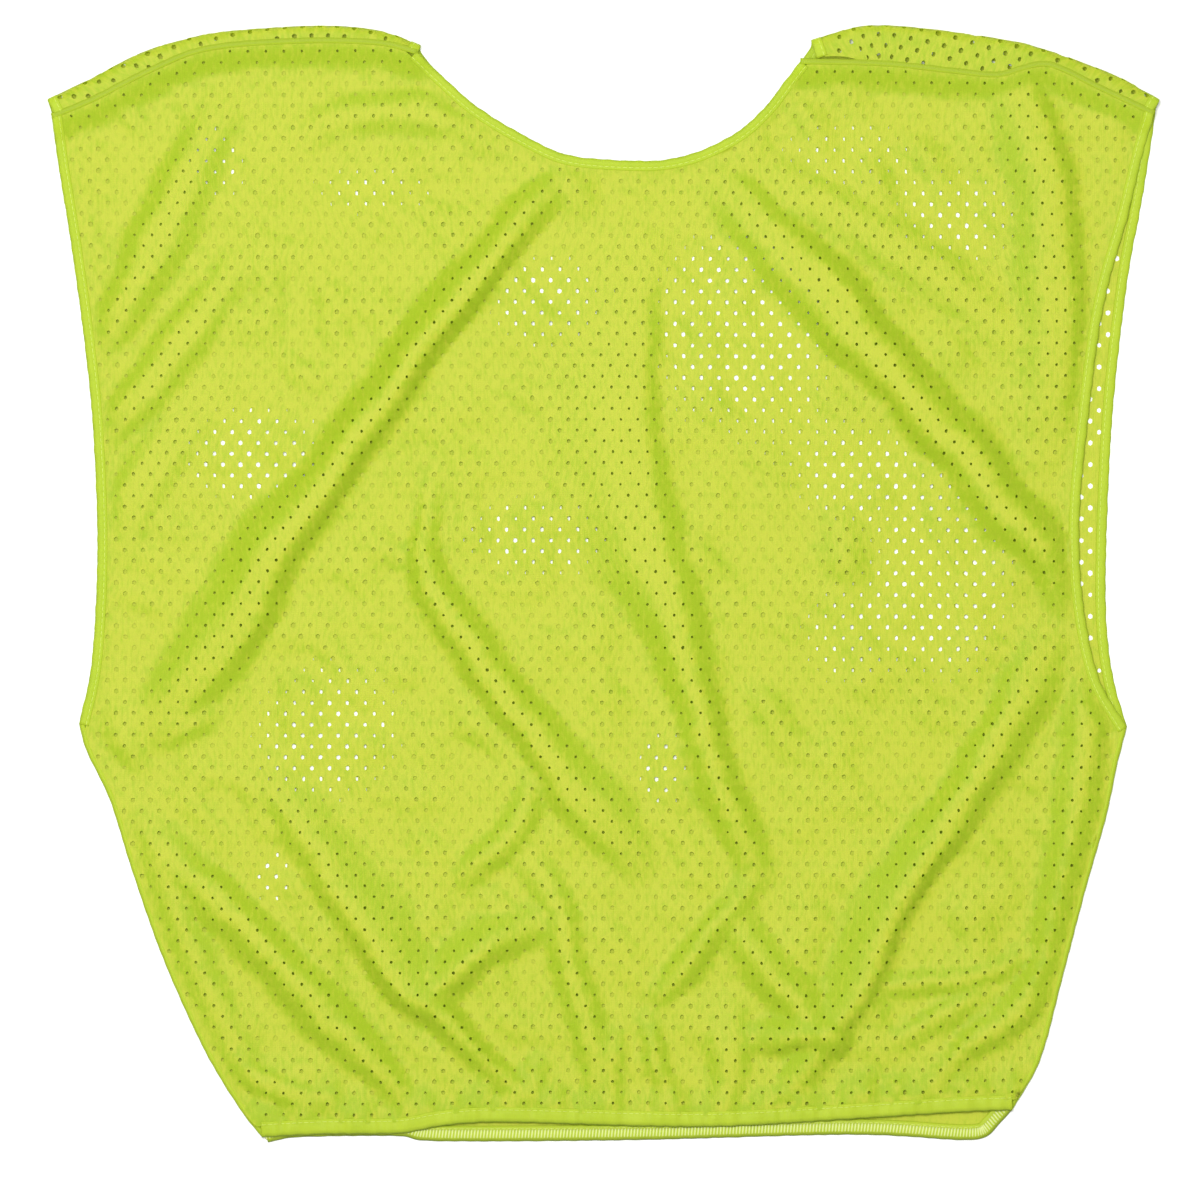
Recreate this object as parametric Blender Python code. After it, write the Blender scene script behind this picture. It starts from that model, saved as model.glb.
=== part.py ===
"""A mesh training bib laid flat: two panels, their turned edges and an elasticated waist hem.

The back panel lies on the surface at Z = 0 and turns forward over both shoulders. The front panel lies
on it, and its folds rise from there. X runs across the chest, Y up to the neck, Z up from the surface.
All sizes are in millimetres until the meshes are made.
"""

from collections import namedtuple

import bpy
import numpy as np

# Sizes

METRES_PER_MM = 0.001
CLOTH = 1.2
GAP = 0.3
SEAM_GAP = 0.4
END_GAP = 0.6
TURNED_EDGE = 5.0
TURNED_EDGE_CLOTH = 1.8
WAIST_HEM = 7.5
FRONT_WAIST_HEM_CLOTH = 2.2
BACK_WAIST_HEM_CLOTH = 1.8
SHOULDER_TURN = 3.0
SHOULDER_SLOPE = 16.0
WAIST_LIFT = 1.2
WAIST_SLOPE = 22.0
GATHERS = 15
GATHER_HEIGHT = 3.0
GATHER_LENGTH = 34.0
GATHER_UNEVENNESS = 1.4
EDGE_SLOPE = 14.0

BACK_LEVEL = CLOTH / 2
FRONT_LEVEL = CLOTH + GAP + CLOTH / 2
SHOULDER_LEVEL = BACK_LEVEL + 2 * SHOULDER_TURN
PANEL_INSET = TURNED_EDGE + GAP
WAIST_INSET = WAIST_HEM + GAP
SHOULDER_INSET = SHOULDER_TURN + CLOTH / 2

# Cells of the panels' grids, along the edges that bound them, and steps of the curves

Cells = namedtuple("Cells", "waist side armhole shoulder neck")

FRONT_CELLS = Cells(waist=54, side=20, armhole=26, shoulder=12, neck=30)
BACK_CELLS = Cells(waist=38, side=12, armhole=16, shoulder=12, neck=14)
FINE_CELLS = Cells(waist=150, side=60, armhole=80, shoulder=40, neck=80)
TURN_STEPS = 6
CURVE_STEPS = 12
FOLD_STEPS = 48
FOLD_TAPER = 0.22
FOLD_BLEND = 3

# Edges. Each row is a point (x, y) that the edge passes through, in order round the bib from the left end
# of the waist, up its right side, over the shoulders and down its left side.

BACK_WAIST = (
    (-167.7, -279.2), (-151.7, -276.6), (-101.7, -276.1), (-84.2, -278.6), (13.3, -278.1),
    (123.3, -275.4), (178.3, -278.1), (191.8, -276.9),
)
FRONT_WAIST = (
    (-170.7, -276.6), (-140.7, -275.1), (-101.2, -274.6), (-81.7, -271.1), (-51.7, -269.1),
    (20.3, -271.1), (63.3, -271.1), (123.3, -267.6), (178.3, -264.1), (204.3, -263.1),
)
RIGHT_WAIST_CORNER = (204.3, -263.1)
RIGHT_SIDE = (
    (218.3, -238.1), (229.3, -197.6), (240.8, -153.6), (251.3, -116.6), (256.8, -90.6),
)
RIGHT_UNDERARM = (261.7, -71.6)
BACK_RIGHT_ARMHOLE = (
    (254.3, -44.1), (251.1, -8.1), (252.6, 51.9), (255.8, 99.4), (262.3, 153.9), (268.3, 186.4),
    (273.3, 216.9),
)
FRONT_RIGHT_ARMHOLE = (
    (248.8, -50.1), (242.3, -26.1), (238.3, 5.9), (238.3, 41.9), (243.3, 91.9), (247.8, 126.9),
    (253.3, 153.4), (261.3, 180.9), (268.8, 211.9),
)
BACK_RIGHT_TIP = (277.0, 242.9)
BACK_RIGHT_SHOULDER = (
    (256.3, 254.4), (219.8, 267.9), (197.8, 272.9), (157.3, 278.4), (128.8, 279.2),
)
BACK_NECK_RIGHT = (108.3, 273.4)
FRONT_RIGHT_TIP = (275.0, 235.0)
FRONT_RIGHT_SHOULDER = (
    (246.8, 248.4), (223.3, 259.4), (208.3, 257.4), (196.8, 254.2), (173.3, 256.4), (139.8, 259.9),
)
FRONT_NECK_RIGHT = (98.3, 260.9)
NECK = (
    (89.3, 249.4), (81.8, 239.4), (67.8, 226.4), (48.3, 216.4), (30.3, 211.9), (10.8, 211.6),
    (-15.7, 213.9), (-32.7, 220.4), (-61.7, 237.4), (-80.7, 253.9),
)
FRONT_NECK_LEFT = (-93.2, 265.7)
FRONT_LEFT_SHOULDER = (
    (-112.2, 270.3), (-151.7, 271.2), (-197.7, 267.4), (-226.7, 256.4), (-254.2, 242.4),
)
FRONT_LEFT_TIP = (-275.4, 233.4)
BACK_NECK_LEFT = (-97.7, 271.9)
BACK_LEFT_SHOULDER = (
    (-111.2, 276.8), (-142.2, 279.4), (-190.2, 276.4), (-214.2, 271.4), (-233.2, 264.9), (-254.7, 253.9),
)
BACK_LEFT_TIP = (-277.0, 242.9)
LEFT_ARMHOLE = (
    (-272.4, 209.4), (-265.9, 168.9), (-259.2, 119.4), (-254.9, 74.9), (-252.9, 16.4), (-255.7, -38.6),
)
LEFT_UNDERARM = (-262.1, -70.1)
LEFT_SIDE = (
    (-258.4, -83.6), (-246.7, -108.1), (-235.7, -143.1), (-220.2, -187.1), (-199.7, -232.6),
    (-181.7, -262.6),
)

# Folds of the front panel. Each runs from its start through its middle to its end. Left and right are the
# widths of its slopes for someone who looks from the start to the end, and crest is the width of its top.

Fold = namedtuple("Fold", "start middle end height left right crest")

FOLDS = (
    Fold((-30, 190), (-109, 92), (-236, -66), 9.0, 15, 22, 9),
    Fold((62, 190), (151, 97), (238, -15), 8.0, 19, 17, 11),
    Fold((-4, 155), (22, 58), (46, -24), 5.0, 13, 26, 10),
    Fold((36, 12), (57, -66), (77, -140), 6.0, 14, 12, 9),
    Fold((-92, 52), (-56, -52), (16, -142), 6.0, 17, 11, 9),
    Fold((-50, -128), (-21, -190), (1, -252), 5.0, 11, 12, 8),
    Fold((-228, -112), (-161, -194), (-99, -256), 6.0, 12, 13, 6),
    Fold((-246, -92), (-207, -176), (-160, -248), 5.0, 16, 16, 16),
    Fold((-158, -124), (-94, -208), (-30, -258), 7.5, 30, 11, 4),
    Fold((-96, -215), (-66, -193), (-30, -168), 6.5, 24, 11, 4),
    Fold((62, -146), (82, -194), (112, -226), 5.0, 20, 14, 4),
    Fold((92, -252), (134, -201), (172, -126), 7.5, 28, 9, 4),
    Fold((218, -14), (191, -78), (158, -152), 6.5, 13, 18, 11),
    Fold((243, -34), (231, -133), (200, -240), 5.0, 14, 16, 12),
    Fold((143, -229), (181, -211), (222, -186), 4.0, 10, 11, 4),
    Fold((74, -136), (46, -176), (22, -206), 4.0, 10, 11, 5),
    Fold((-190, 238), (-219, 177), (-250, 108), 4.0, 16, 13, 12),
    Fold((-186, 152), (-219, 104), (-250, 62), 3.5, 12, 12, 10),
    Fold((214, 250), (230, 190), (239, 100), 5.0, 10, 22, 8),
)

# Curves


def smooth_step(value):
    """0 below 0, 1 above 1, with a soft start and end between."""
    value = np.clip(value, 0, 1)
    return value * value * (3 - 2 * value)


def smooth_curve(rows, cells):
    """Points at equal steps along a smooth curve through the rows."""
    rows = np.array(rows, float)
    knots = np.vstack([2 * rows[0] - rows[1], rows, 2 * rows[-1] - rows[-2]])
    share = np.linspace(0, 1, CURVE_STEPS, endpoint=False)[:, None]
    spans = []
    for before, start, end, after in zip(knots, knots[1:], knots[2:], knots[3:]):
        bend = 2 * before - 5 * start + 4 * end - after
        twist = 3 * (start - end) + after - before
        spans.append(start + share / 2 * (end - before + share * (bend + share * twist)))
    fine = np.vstack([*spans, rows[-1:]])
    travelled = np.concatenate([[0], np.cumsum(np.linalg.norm(np.diff(fine, axis=0), axis=1))])
    wanted = np.linspace(0, travelled[-1], cells + 1)
    return np.column_stack([np.interp(wanted, travelled, fine[:, axis]) for axis in (0, 1)])


def inset_rows(edges, depths):
    """The edges of a closed outline moved inwards, each by its own depth, still meeting at the corners."""
    loop = np.vstack([rows[:-1] for rows in edges])
    depth = np.concatenate([np.full(len(rows) - 1, deep) for rows, deep in zip(edges, depths)])
    depth_before = np.roll(depth, 1)
    along = np.roll(loop, -1, axis=0) - loop
    along /= np.linalg.norm(along, axis=1)[:, None]
    inward = np.column_stack([-along[:, 1], along[:, 0]])
    inward_before = np.roll(inward, 1, axis=0)
    likeness = (inward * inward_before).sum(axis=1)
    shared = (depth + depth_before) / 2 / (1 + likeness)
    split = (depth - depth_before) / 2 / np.maximum(1 - likeness, 1e-9)
    moved = loop + shared[:, None] * (inward + inward_before) + split[:, None] * (inward - inward_before)
    moved = np.vstack([moved, moved[:1]])
    stops = np.cumsum([0] + [len(rows) - 1 for rows in edges])
    return [moved[first:last + 1] for first, last in zip(stops, stops[1:])]


# Outlines of the panels: eight edges, anticlockwise from the waist

Outline = namedtuple(
    "Outline",
    "waist right_side right_armhole right_shoulder neck left_shoulder left_armhole left_side",
)

BACK_OUTLINE = Outline(
    waist=BACK_WAIST,
    right_side=(BACK_WAIST[-1], RIGHT_WAIST_CORNER, *RIGHT_SIDE, RIGHT_UNDERARM),
    right_armhole=(RIGHT_UNDERARM, *BACK_RIGHT_ARMHOLE, BACK_RIGHT_TIP),
    right_shoulder=(BACK_RIGHT_TIP, *BACK_RIGHT_SHOULDER, BACK_NECK_RIGHT),
    neck=(BACK_NECK_RIGHT, *NECK, BACK_NECK_LEFT),
    left_shoulder=(BACK_NECK_LEFT, *BACK_LEFT_SHOULDER, BACK_LEFT_TIP),
    left_armhole=(BACK_LEFT_TIP, *LEFT_ARMHOLE, LEFT_UNDERARM),
    left_side=(LEFT_UNDERARM, *LEFT_SIDE, BACK_WAIST[0]),
)
FRONT_OUTLINE = Outline(
    waist=FRONT_WAIST,
    right_side=(FRONT_WAIST[-1], *RIGHT_SIDE, RIGHT_UNDERARM),
    right_armhole=(RIGHT_UNDERARM, *FRONT_RIGHT_ARMHOLE, FRONT_RIGHT_TIP),
    right_shoulder=(FRONT_RIGHT_TIP, *FRONT_RIGHT_SHOULDER, FRONT_NECK_RIGHT),
    neck=(FRONT_NECK_RIGHT, *NECK, FRONT_NECK_LEFT),
    left_shoulder=(FRONT_NECK_LEFT, *FRONT_LEFT_SHOULDER, FRONT_LEFT_TIP),
    left_armhole=(FRONT_LEFT_TIP, *LEFT_ARMHOLE, LEFT_UNDERARM),
    left_side=(LEFT_UNDERARM, *LEFT_SIDE, FRONT_WAIST[0]),
)


def edge_curves(outline, cells, waist=0.0, armhole=0.0, shoulder=0.0, neck=0.0):
    """The outline's edges as smooth curves, each moved inwards by the depth given for its kind."""
    kinds = ("waist", "side", "armhole", "shoulder", "neck", "shoulder", "armhole", "side")
    depth = {"waist": waist, "side": 0.0, "armhole": armhole, "shoulder": shoulder, "neck": neck}
    moved = inset_rows(outline, [depth[kind] for kind in kinds])
    return Outline(*(smooth_curve(rows, getattr(cells, kind)) for rows, kind in zip(moved, kinds)))


# Height of the front panel

FRONT_EDGE = edge_curves(FRONT_OUTLINE, FINE_CELLS)
SEAM_POINTS = np.vstack([FRONT_EDGE.right_shoulder, FRONT_EDGE.left_shoulder])
LOW_EDGE_POINTS = np.vstack(
    [
        FRONT_EDGE.waist,
        FRONT_EDGE.right_side,
        FRONT_EDGE.right_armhole,
        FRONT_EDGE.neck,
        FRONT_EDGE.left_armhole,
        FRONT_EDGE.left_side,
    ]
)


def distance_to(points, x, y):
    """How far each (x, y) is from the nearest of the points."""
    return np.hypot(x[..., None] - points[:, 0], y[..., None] - points[:, 1]).min(axis=-1)


def fold_height(fold, x, y):
    """Height that one fold adds: full on its crest, falling off down its slopes and at its ends."""
    line = smooth_curve((fold.start, fold.middle, fold.end), FOLD_STEPS)
    heading = np.gradient(line, axis=0)
    off_x = x[..., None] - line[:, 0]
    off_y = y[..., None] - line[:, 1]
    away = np.hypot(off_x, off_y)
    nearest = away.argmin(axis=-1)[..., None]
    turn = heading[:, 0] * off_y - heading[:, 1] * off_x
    on_left = np.take_along_axis(turn, nearest, axis=-1)[..., 0] > 0
    slope = np.where(on_left, fold.left, fold.right)
    beyond = np.take_along_axis(away, nearest, axis=-1)[..., 0] - fold.crest / 2
    along = nearest[..., 0] / FOLD_STEPS
    ends = smooth_step(np.minimum(along, 1 - along) / FOLD_TAPER)
    return fold.height * ends * smooth_step(1 - beyond / slope)


def gather_height(x, to_waist):
    """Height of the gathers that the elastic draws up, uneven waves that fade away from the waist."""
    share = (x - FRONT_WAIST[0][0]) / (FRONT_WAIST[-1][0] - FRONT_WAIST[0][0])
    phase = 2 * np.pi * GATHERS * share + GATHER_UNEVENNESS * np.sin(2 * np.pi * 3 * share)
    fade = smooth_step(to_waist / EDGE_SLOPE) * smooth_step(1 - to_waist / GATHER_LENGTH)
    return GATHER_HEIGHT * fade * (1 + np.cos(phase)) / 2


def blend_heights(heights):
    """The highest of the heights, with soft joins where two are close."""
    return sum(height**FOLD_BLEND for height in heights) ** (1 / FOLD_BLEND)


def front_height(x, y):
    """Height of the middle of the front panel's cloth: its folds, and its rise to the shoulders and hem."""
    folds = blend_heights([fold_height(fold, x, y) for fold in FOLDS])
    folds *= smooth_step(distance_to(LOW_EDGE_POINTS, x, y) / EDGE_SLOPE)
    to_seam = distance_to(SEAM_POINTS, x, y)
    shoulders = (SHOULDER_LEVEL - FRONT_LEVEL) * smooth_step(1 - to_seam / SHOULDER_SLOPE)
    to_waist = distance_to(FRONT_EDGE.waist, x, y)
    waist = WAIST_LIFT * smooth_step(1 - to_waist / WAIST_SLOPE)
    gathers = gather_height(x, to_waist)
    return FRONT_LEVEL + blend_heights([folds, shoulders, waist + gathers])


# Grids of points


def at_level(flat, level):
    """Points in the plane given a height, which is one number or one for each point."""
    height = np.broadcast_to(level, flat.shape[:-1])[..., None]
    return np.concatenate([flat, height], axis=-1)


def quads_between(index):
    """Quads of a grid of point numbers, facing up where rows run up and columns run to the right."""
    corners = [index[:-1, :-1], index[:-1, 1:], index[1:, 1:], index[1:, :-1]]
    return np.stack(corners, axis=-1).reshape(-1, 4)


def numbered(grid):
    """The numbers of a grid's points, in the grid's own rows."""
    return np.arange(grid.shape[0] * grid.shape[1]).reshape(grid.shape[:2])


def split_along_folds(points, quads):
    """Triangles from quads, each cut along the diagonal whose ends are nearer in height."""
    height = points[quads][:, :, 2]
    rising = np.abs(height[:, 0] - height[:, 2]) <= np.abs(height[:, 1] - height[:, 3])
    one_way = quads[rising][:, [0, 1, 2, 0, 2, 3]]
    other_way = quads[~rising][:, [1, 2, 3, 1, 3, 0]]
    return np.vstack([one_way, other_way]).reshape(-1, 3)


def panel_grid(edges):
    """A grid of points that fills an outline, each row from the left edges to the right ones."""
    waist = edges.waist
    right = np.vstack([edges.right_side[:-1], edges.right_armhole])
    top = np.vstack([edges.right_shoulder[:-1], edges.neck[:-1], edges.left_shoulder])[::-1]
    left = np.vstack([edges.left_armhole[:-1], edges.left_side])[::-1]
    across = np.linspace(0, 1, len(waist))[None, :, None]
    up = np.linspace(0, 1, len(left))[:, None, None]
    between_sides = (1 - across) * left[:, None] + across * right[:, None]
    between_ends = (1 - up) * waist[None] + up * top[None]
    low_corners = (1 - across) * waist[0] + across * waist[-1]
    high_corners = (1 - across) * top[0] + across * top[-1]
    return between_sides + between_ends - (1 - up) * low_corners - up * high_corners


def cut_back(line):
    """A line made shorter at both ends by the gap that keeps it off its neighbours."""
    line = line.copy()
    for end, inner in ((0, 1), (-1, -2)):
        step = line[inner] - line[end]
        line[end] += step * END_GAP / np.linalg.norm(step)
    return line


# Solids


def add_piece(name, points, faces, cloth, color, roughness):
    """A piece of cloth from the surface through its middle, with its own material."""
    mesh = bpy.data.meshes.new(name)
    mesh.from_pydata((points * METRES_PER_MM).tolist(), [], faces.tolist())
    mesh.shade_smooth()
    piece = bpy.data.objects.new(name, mesh)
    bpy.context.scene.collection.objects.link(piece)
    wall = piece.modifiers.new("Cloth", "SOLIDIFY")
    wall.thickness = cloth * METRES_PER_MM
    wall.offset = 0
    material = bpy.data.materials.new(name)
    material.use_nodes = True
    shader = material.node_tree.nodes["Principled BSDF"]
    shader.inputs["Base Color"].default_value = (*color, 1)
    shader.inputs["Roughness"].default_value = roughness
    shader.inputs["Metallic"].default_value = 0
    mesh.materials.append(material)


def add_strip(name, outer, inner, level_of, cloth, color, roughness):
    """A band of cloth between two edges that have the same number of points."""
    flat = np.stack([cut_back(outer), cut_back(inner)])
    points = at_level(flat, level_of(flat[..., 0], flat[..., 1])).reshape(-1, 3)
    add_piece(name, points, quads_between(numbered(flat)), cloth, color, roughness)


MESH_COLOR = (0.62, 0.76, 0.09)
EDGE_COLOR = (0.55, 0.70, 0.07)
HEM_COLOR = (0.50, 0.62, 0.10)
MESH_ROUGHNESS = 0.75
HEM_ROUGHNESS = 0.85

for old in list(bpy.data.objects):
    bpy.data.objects.remove(old, do_unlink=True)

# Front panel: one piece of mesh cloth from the shoulder seams to the waist hem

front = panel_grid(
    edge_curves(
        FRONT_OUTLINE,
        FRONT_CELLS,
        waist=WAIST_INSET,
        armhole=PANEL_INSET,
        shoulder=SEAM_GAP,
        neck=PANEL_INSET,
    )
)
front_points = at_level(front, front_height(front[..., 0], front[..., 1])).reshape(-1, 3)
front_faces = split_along_folds(front_points, quads_between(numbered(front)))
add_piece("front_panel", front_points, front_faces, CLOTH, MESH_COLOR, MESH_ROUGHNESS)

# Back panel: flat on the surface, with two flaps that turn forward over the shoulders to the seams


def shoulder_flap(panel_row, top_edge, seam):
    """Rows of points that follow the panel's row: round the turn at the top of a shoulder, then its seam."""
    inward = panel_row - top_edge
    depth = np.linalg.norm(inward, axis=1)
    inward /= depth[:, None]
    rows = []
    for angle in np.linspace(0, np.pi, TURN_STEPS + 1)[1:]:
        radius = np.where(angle < np.pi / 2, depth - CLOTH / 2, SHOULDER_TURN)
        reach = CLOTH / 2 + radius * (1 - np.sin(angle))
        level = BACK_LEVEL + SHOULDER_TURN * (1 - np.cos(angle))
        rows.append(at_level(top_edge + inward * reach[:, None], level))
    return np.stack([*rows, at_level(seam, SHOULDER_LEVEL)])


back_edges = edge_curves(
    BACK_OUTLINE,
    BACK_CELLS,
    waist=WAIST_INSET,
    armhole=PANEL_INSET,
    shoulder=SHOULDER_INSET,
    neck=PANEL_INSET,
)
back_outer = edge_curves(BACK_OUTLINE, BACK_CELLS)
seams = edge_curves(FRONT_OUTLINE, BACK_CELLS)
back = panel_grid(back_edges)
back_numbers = numbered(back)
back_points = at_level(back, BACK_LEVEL).reshape(-1, 3)
back_faces = quads_between(back_numbers)
left_columns = back_numbers[-1, :BACK_CELLS.shoulder + 1]
right_columns = back_numbers[-1, -BACK_CELLS.shoulder - 1:]
for shoulder, columns in (("left_shoulder", left_columns), ("right_shoulder", right_columns)):
    panel_row, top_edge, seam = (
        getattr(edges, shoulder)[::-1] for edges in (back_edges, back_outer, seams)
    )
    flap = shoulder_flap(panel_row, top_edge, seam)
    flap_numbers = numbered(flap) + len(back_points)
    back_faces = np.vstack([back_faces, quads_between(np.vstack([columns, flap_numbers]))])
    back_points = np.vstack([back_points, flap.reshape(-1, 3)])
add_piece("back_panel", back_points, back_faces, CLOTH, MESH_COLOR, MESH_ROUGHNESS)

# Turned edges of the neck and armholes, one on each panel, beside the panel's own edge


def front_turned_level(x, y):
    """Middle of the front's turned edges, whose undersides are level with the panel's."""
    return front_height(x, y) + (TURNED_EDGE_CLOTH - CLOTH) / 2


def back_turned_level(x, y):
    """Middle of the back's turned edges, which are level with the panel."""
    return BACK_LEVEL


front_outer = edge_curves(FRONT_OUTLINE, FRONT_CELLS)
front_inner = edge_curves(
    FRONT_OUTLINE,
    FRONT_CELLS,
    waist=WAIST_HEM,
    armhole=TURNED_EDGE,
    shoulder=SEAM_GAP,
    neck=TURNED_EDGE,
)
back_inner = edge_curves(
    BACK_OUTLINE,
    BACK_CELLS,
    waist=WAIST_HEM,
    armhole=TURNED_EDGE,
    shoulder=SHOULDER_INSET,
    neck=TURNED_EDGE,
)
for edge in ("neck", "right_armhole", "left_armhole"):
    add_strip(
        f"{edge}_edge_front",
        getattr(front_outer, edge),
        getattr(front_inner, edge),
        front_turned_level,
        TURNED_EDGE_CLOTH,
        EDGE_COLOR,
        MESH_ROUGHNESS,
    )
    add_strip(
        f"{edge}_edge_back",
        getattr(back_outer, edge),
        getattr(back_inner, edge),
        back_turned_level,
        CLOTH,
        EDGE_COLOR,
        MESH_ROUGHNESS,
    )

# Waist hem: a casing with elastic in it, drawn in below each panel


def back_hem_level(x, y):
    """Middle of the back's waist hem, which lies on the surface."""
    return BACK_WAIST_HEM_CLOTH / 2


add_strip(
    "waist_hem_front",
    front_outer.waist,
    front_inner.waist,
    front_height,
    FRONT_WAIST_HEM_CLOTH,
    HEM_COLOR,
    HEM_ROUGHNESS,
)
add_strip(
    "waist_hem_back",
    back_outer.waist,
    back_inner.waist,
    back_hem_level,
    BACK_WAIST_HEM_CLOTH,
    HEM_COLOR,
    HEM_ROUGHNESS,
)
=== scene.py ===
from collections import namedtuple

import bpy
import numpy as np
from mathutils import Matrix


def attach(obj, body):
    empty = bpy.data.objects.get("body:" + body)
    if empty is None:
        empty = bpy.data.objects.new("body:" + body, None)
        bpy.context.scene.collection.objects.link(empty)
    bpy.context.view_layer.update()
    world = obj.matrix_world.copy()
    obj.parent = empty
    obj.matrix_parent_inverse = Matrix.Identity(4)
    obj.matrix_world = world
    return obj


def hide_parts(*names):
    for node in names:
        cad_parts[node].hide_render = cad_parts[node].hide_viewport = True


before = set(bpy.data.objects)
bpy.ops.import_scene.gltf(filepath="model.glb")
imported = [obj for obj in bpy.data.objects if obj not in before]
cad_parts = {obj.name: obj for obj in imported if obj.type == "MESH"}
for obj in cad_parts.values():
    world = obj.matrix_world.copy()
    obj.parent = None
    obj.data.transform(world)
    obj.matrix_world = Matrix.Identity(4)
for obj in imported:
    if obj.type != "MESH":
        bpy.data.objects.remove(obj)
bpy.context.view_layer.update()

# Front panel
#
# One piece of warp-knitted polyester mesh, dyed fluorescent yellow-green, with a small hole every 8.85 mm
# in rows that are staggered. It lies loosely on the back panel: long soft folds run from the neck to the
# underarms and up from the elastic waist, and between them it rests on the back.

MM = 0.001
CLOTH = 0.22
HOLE_PITCH = 8.85
ROW_PITCH = 5.42
HOLE_WIDTH = 2.15
HOLE_HEIGHT = 2.75
CELL_TOP = 3.4
HOLE_UNEVENNESS = 0.07
CORNER_UNEVENNESS = 0.08
EDGE_MARGIN = 2.3
PANEL_INSET = 3.6
SEAM_INSET = 1.0
WAIST_INSET = 5.5
FRONT_SHOULDER_INSET = 0.3
SMALLEST_AREA = 0.05

SHOULDER_TURN = 3.0
SHOULDER_SLOPE = 16.0
WAIST_SLOPE = 22.0
EDGE_SLOPE = 14.0
LOW_EDGE_LIFT = 0.95
LOW_EDGE_REACH = 1.2
LOW_EDGE_SLOPE = 9.0
WAIST_LIFT = 1.6
GATHERS = 15
GATHER_SWAYS = 3
GATHER_HEIGHT = 3.0
GATHER_LENGTH = 34.0
GATHER_UNEVENNESS = 1.4
PUCKERS = 46
PUCKER_HEIGHT = 1.0
PUCKER_LENGTH = 20.0
PUCKER_REACH = 1.3
PUCKER_UNEVENNESS = 2.3
PUCKER_SWAYS = 7
BACK_LEVEL = 0.42
FRONT_LEVEL = 1.06
SHOULDER_LEVEL = BACK_LEVEL + 2 * SHOULDER_TURN

FRONT_WAIST = (
    (-170.7, -276.6), (-140.7, -275.1), (-101.2, -274.6), (-81.7, -271.1), (-51.7, -269.1),
    (20.3, -271.1), (63.3, -271.1), (123.3, -267.6), (178.3, -264.1), (204.3, -263.1),
)
RIGHT_SIDE = (
    (218.3, -238.1), (229.3, -197.6), (240.8, -153.6), (251.3, -116.6), (256.8, -90.6),
)
RIGHT_UNDERARM = (261.7, -71.6)
FRONT_RIGHT_ARMHOLE = (
    (248.8, -50.1), (242.3, -26.1), (238.3, 5.9), (238.3, 41.9), (243.3, 91.9), (247.8, 126.9),
    (253.3, 153.4), (261.3, 180.9), (268.8, 211.9),
)
FRONT_RIGHT_TIP = (275.0, 235.0)
FRONT_RIGHT_SHOULDER = (
    (246.8, 248.4), (223.3, 259.4), (208.3, 257.4), (196.8, 254.2), (173.3, 256.4), (139.8, 259.9),
)
FRONT_NECK_RIGHT = (98.3, 260.9)
NECK = (
    (89.3, 249.4), (81.8, 239.4), (67.8, 226.4), (48.3, 216.4), (30.3, 211.9), (10.8, 211.6),
    (-15.7, 213.9), (-32.7, 220.4), (-61.7, 237.4), (-80.7, 253.9),
)
FRONT_NECK_LEFT = (-93.2, 265.7)
FRONT_LEFT_SHOULDER = (
    (-112.2, 270.3), (-151.7, 271.2), (-197.7, 267.4), (-226.7, 256.4), (-254.2, 242.4),
)
FRONT_LEFT_TIP = (-275.4, 233.4)
LEFT_ARMHOLE = (
    (-272.4, 209.4), (-265.9, 168.9), (-259.2, 119.4), (-254.9, 74.9), (-252.9, 16.4), (-255.7, -38.6),
)
LEFT_UNDERARM = (-262.1, -70.1)
LEFT_SIDE = (
    (-258.4, -83.6), (-246.7, -108.1), (-235.7, -143.1), (-220.2, -187.1), (-199.7, -232.6),
    (-181.7, -262.6),
)

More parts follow.
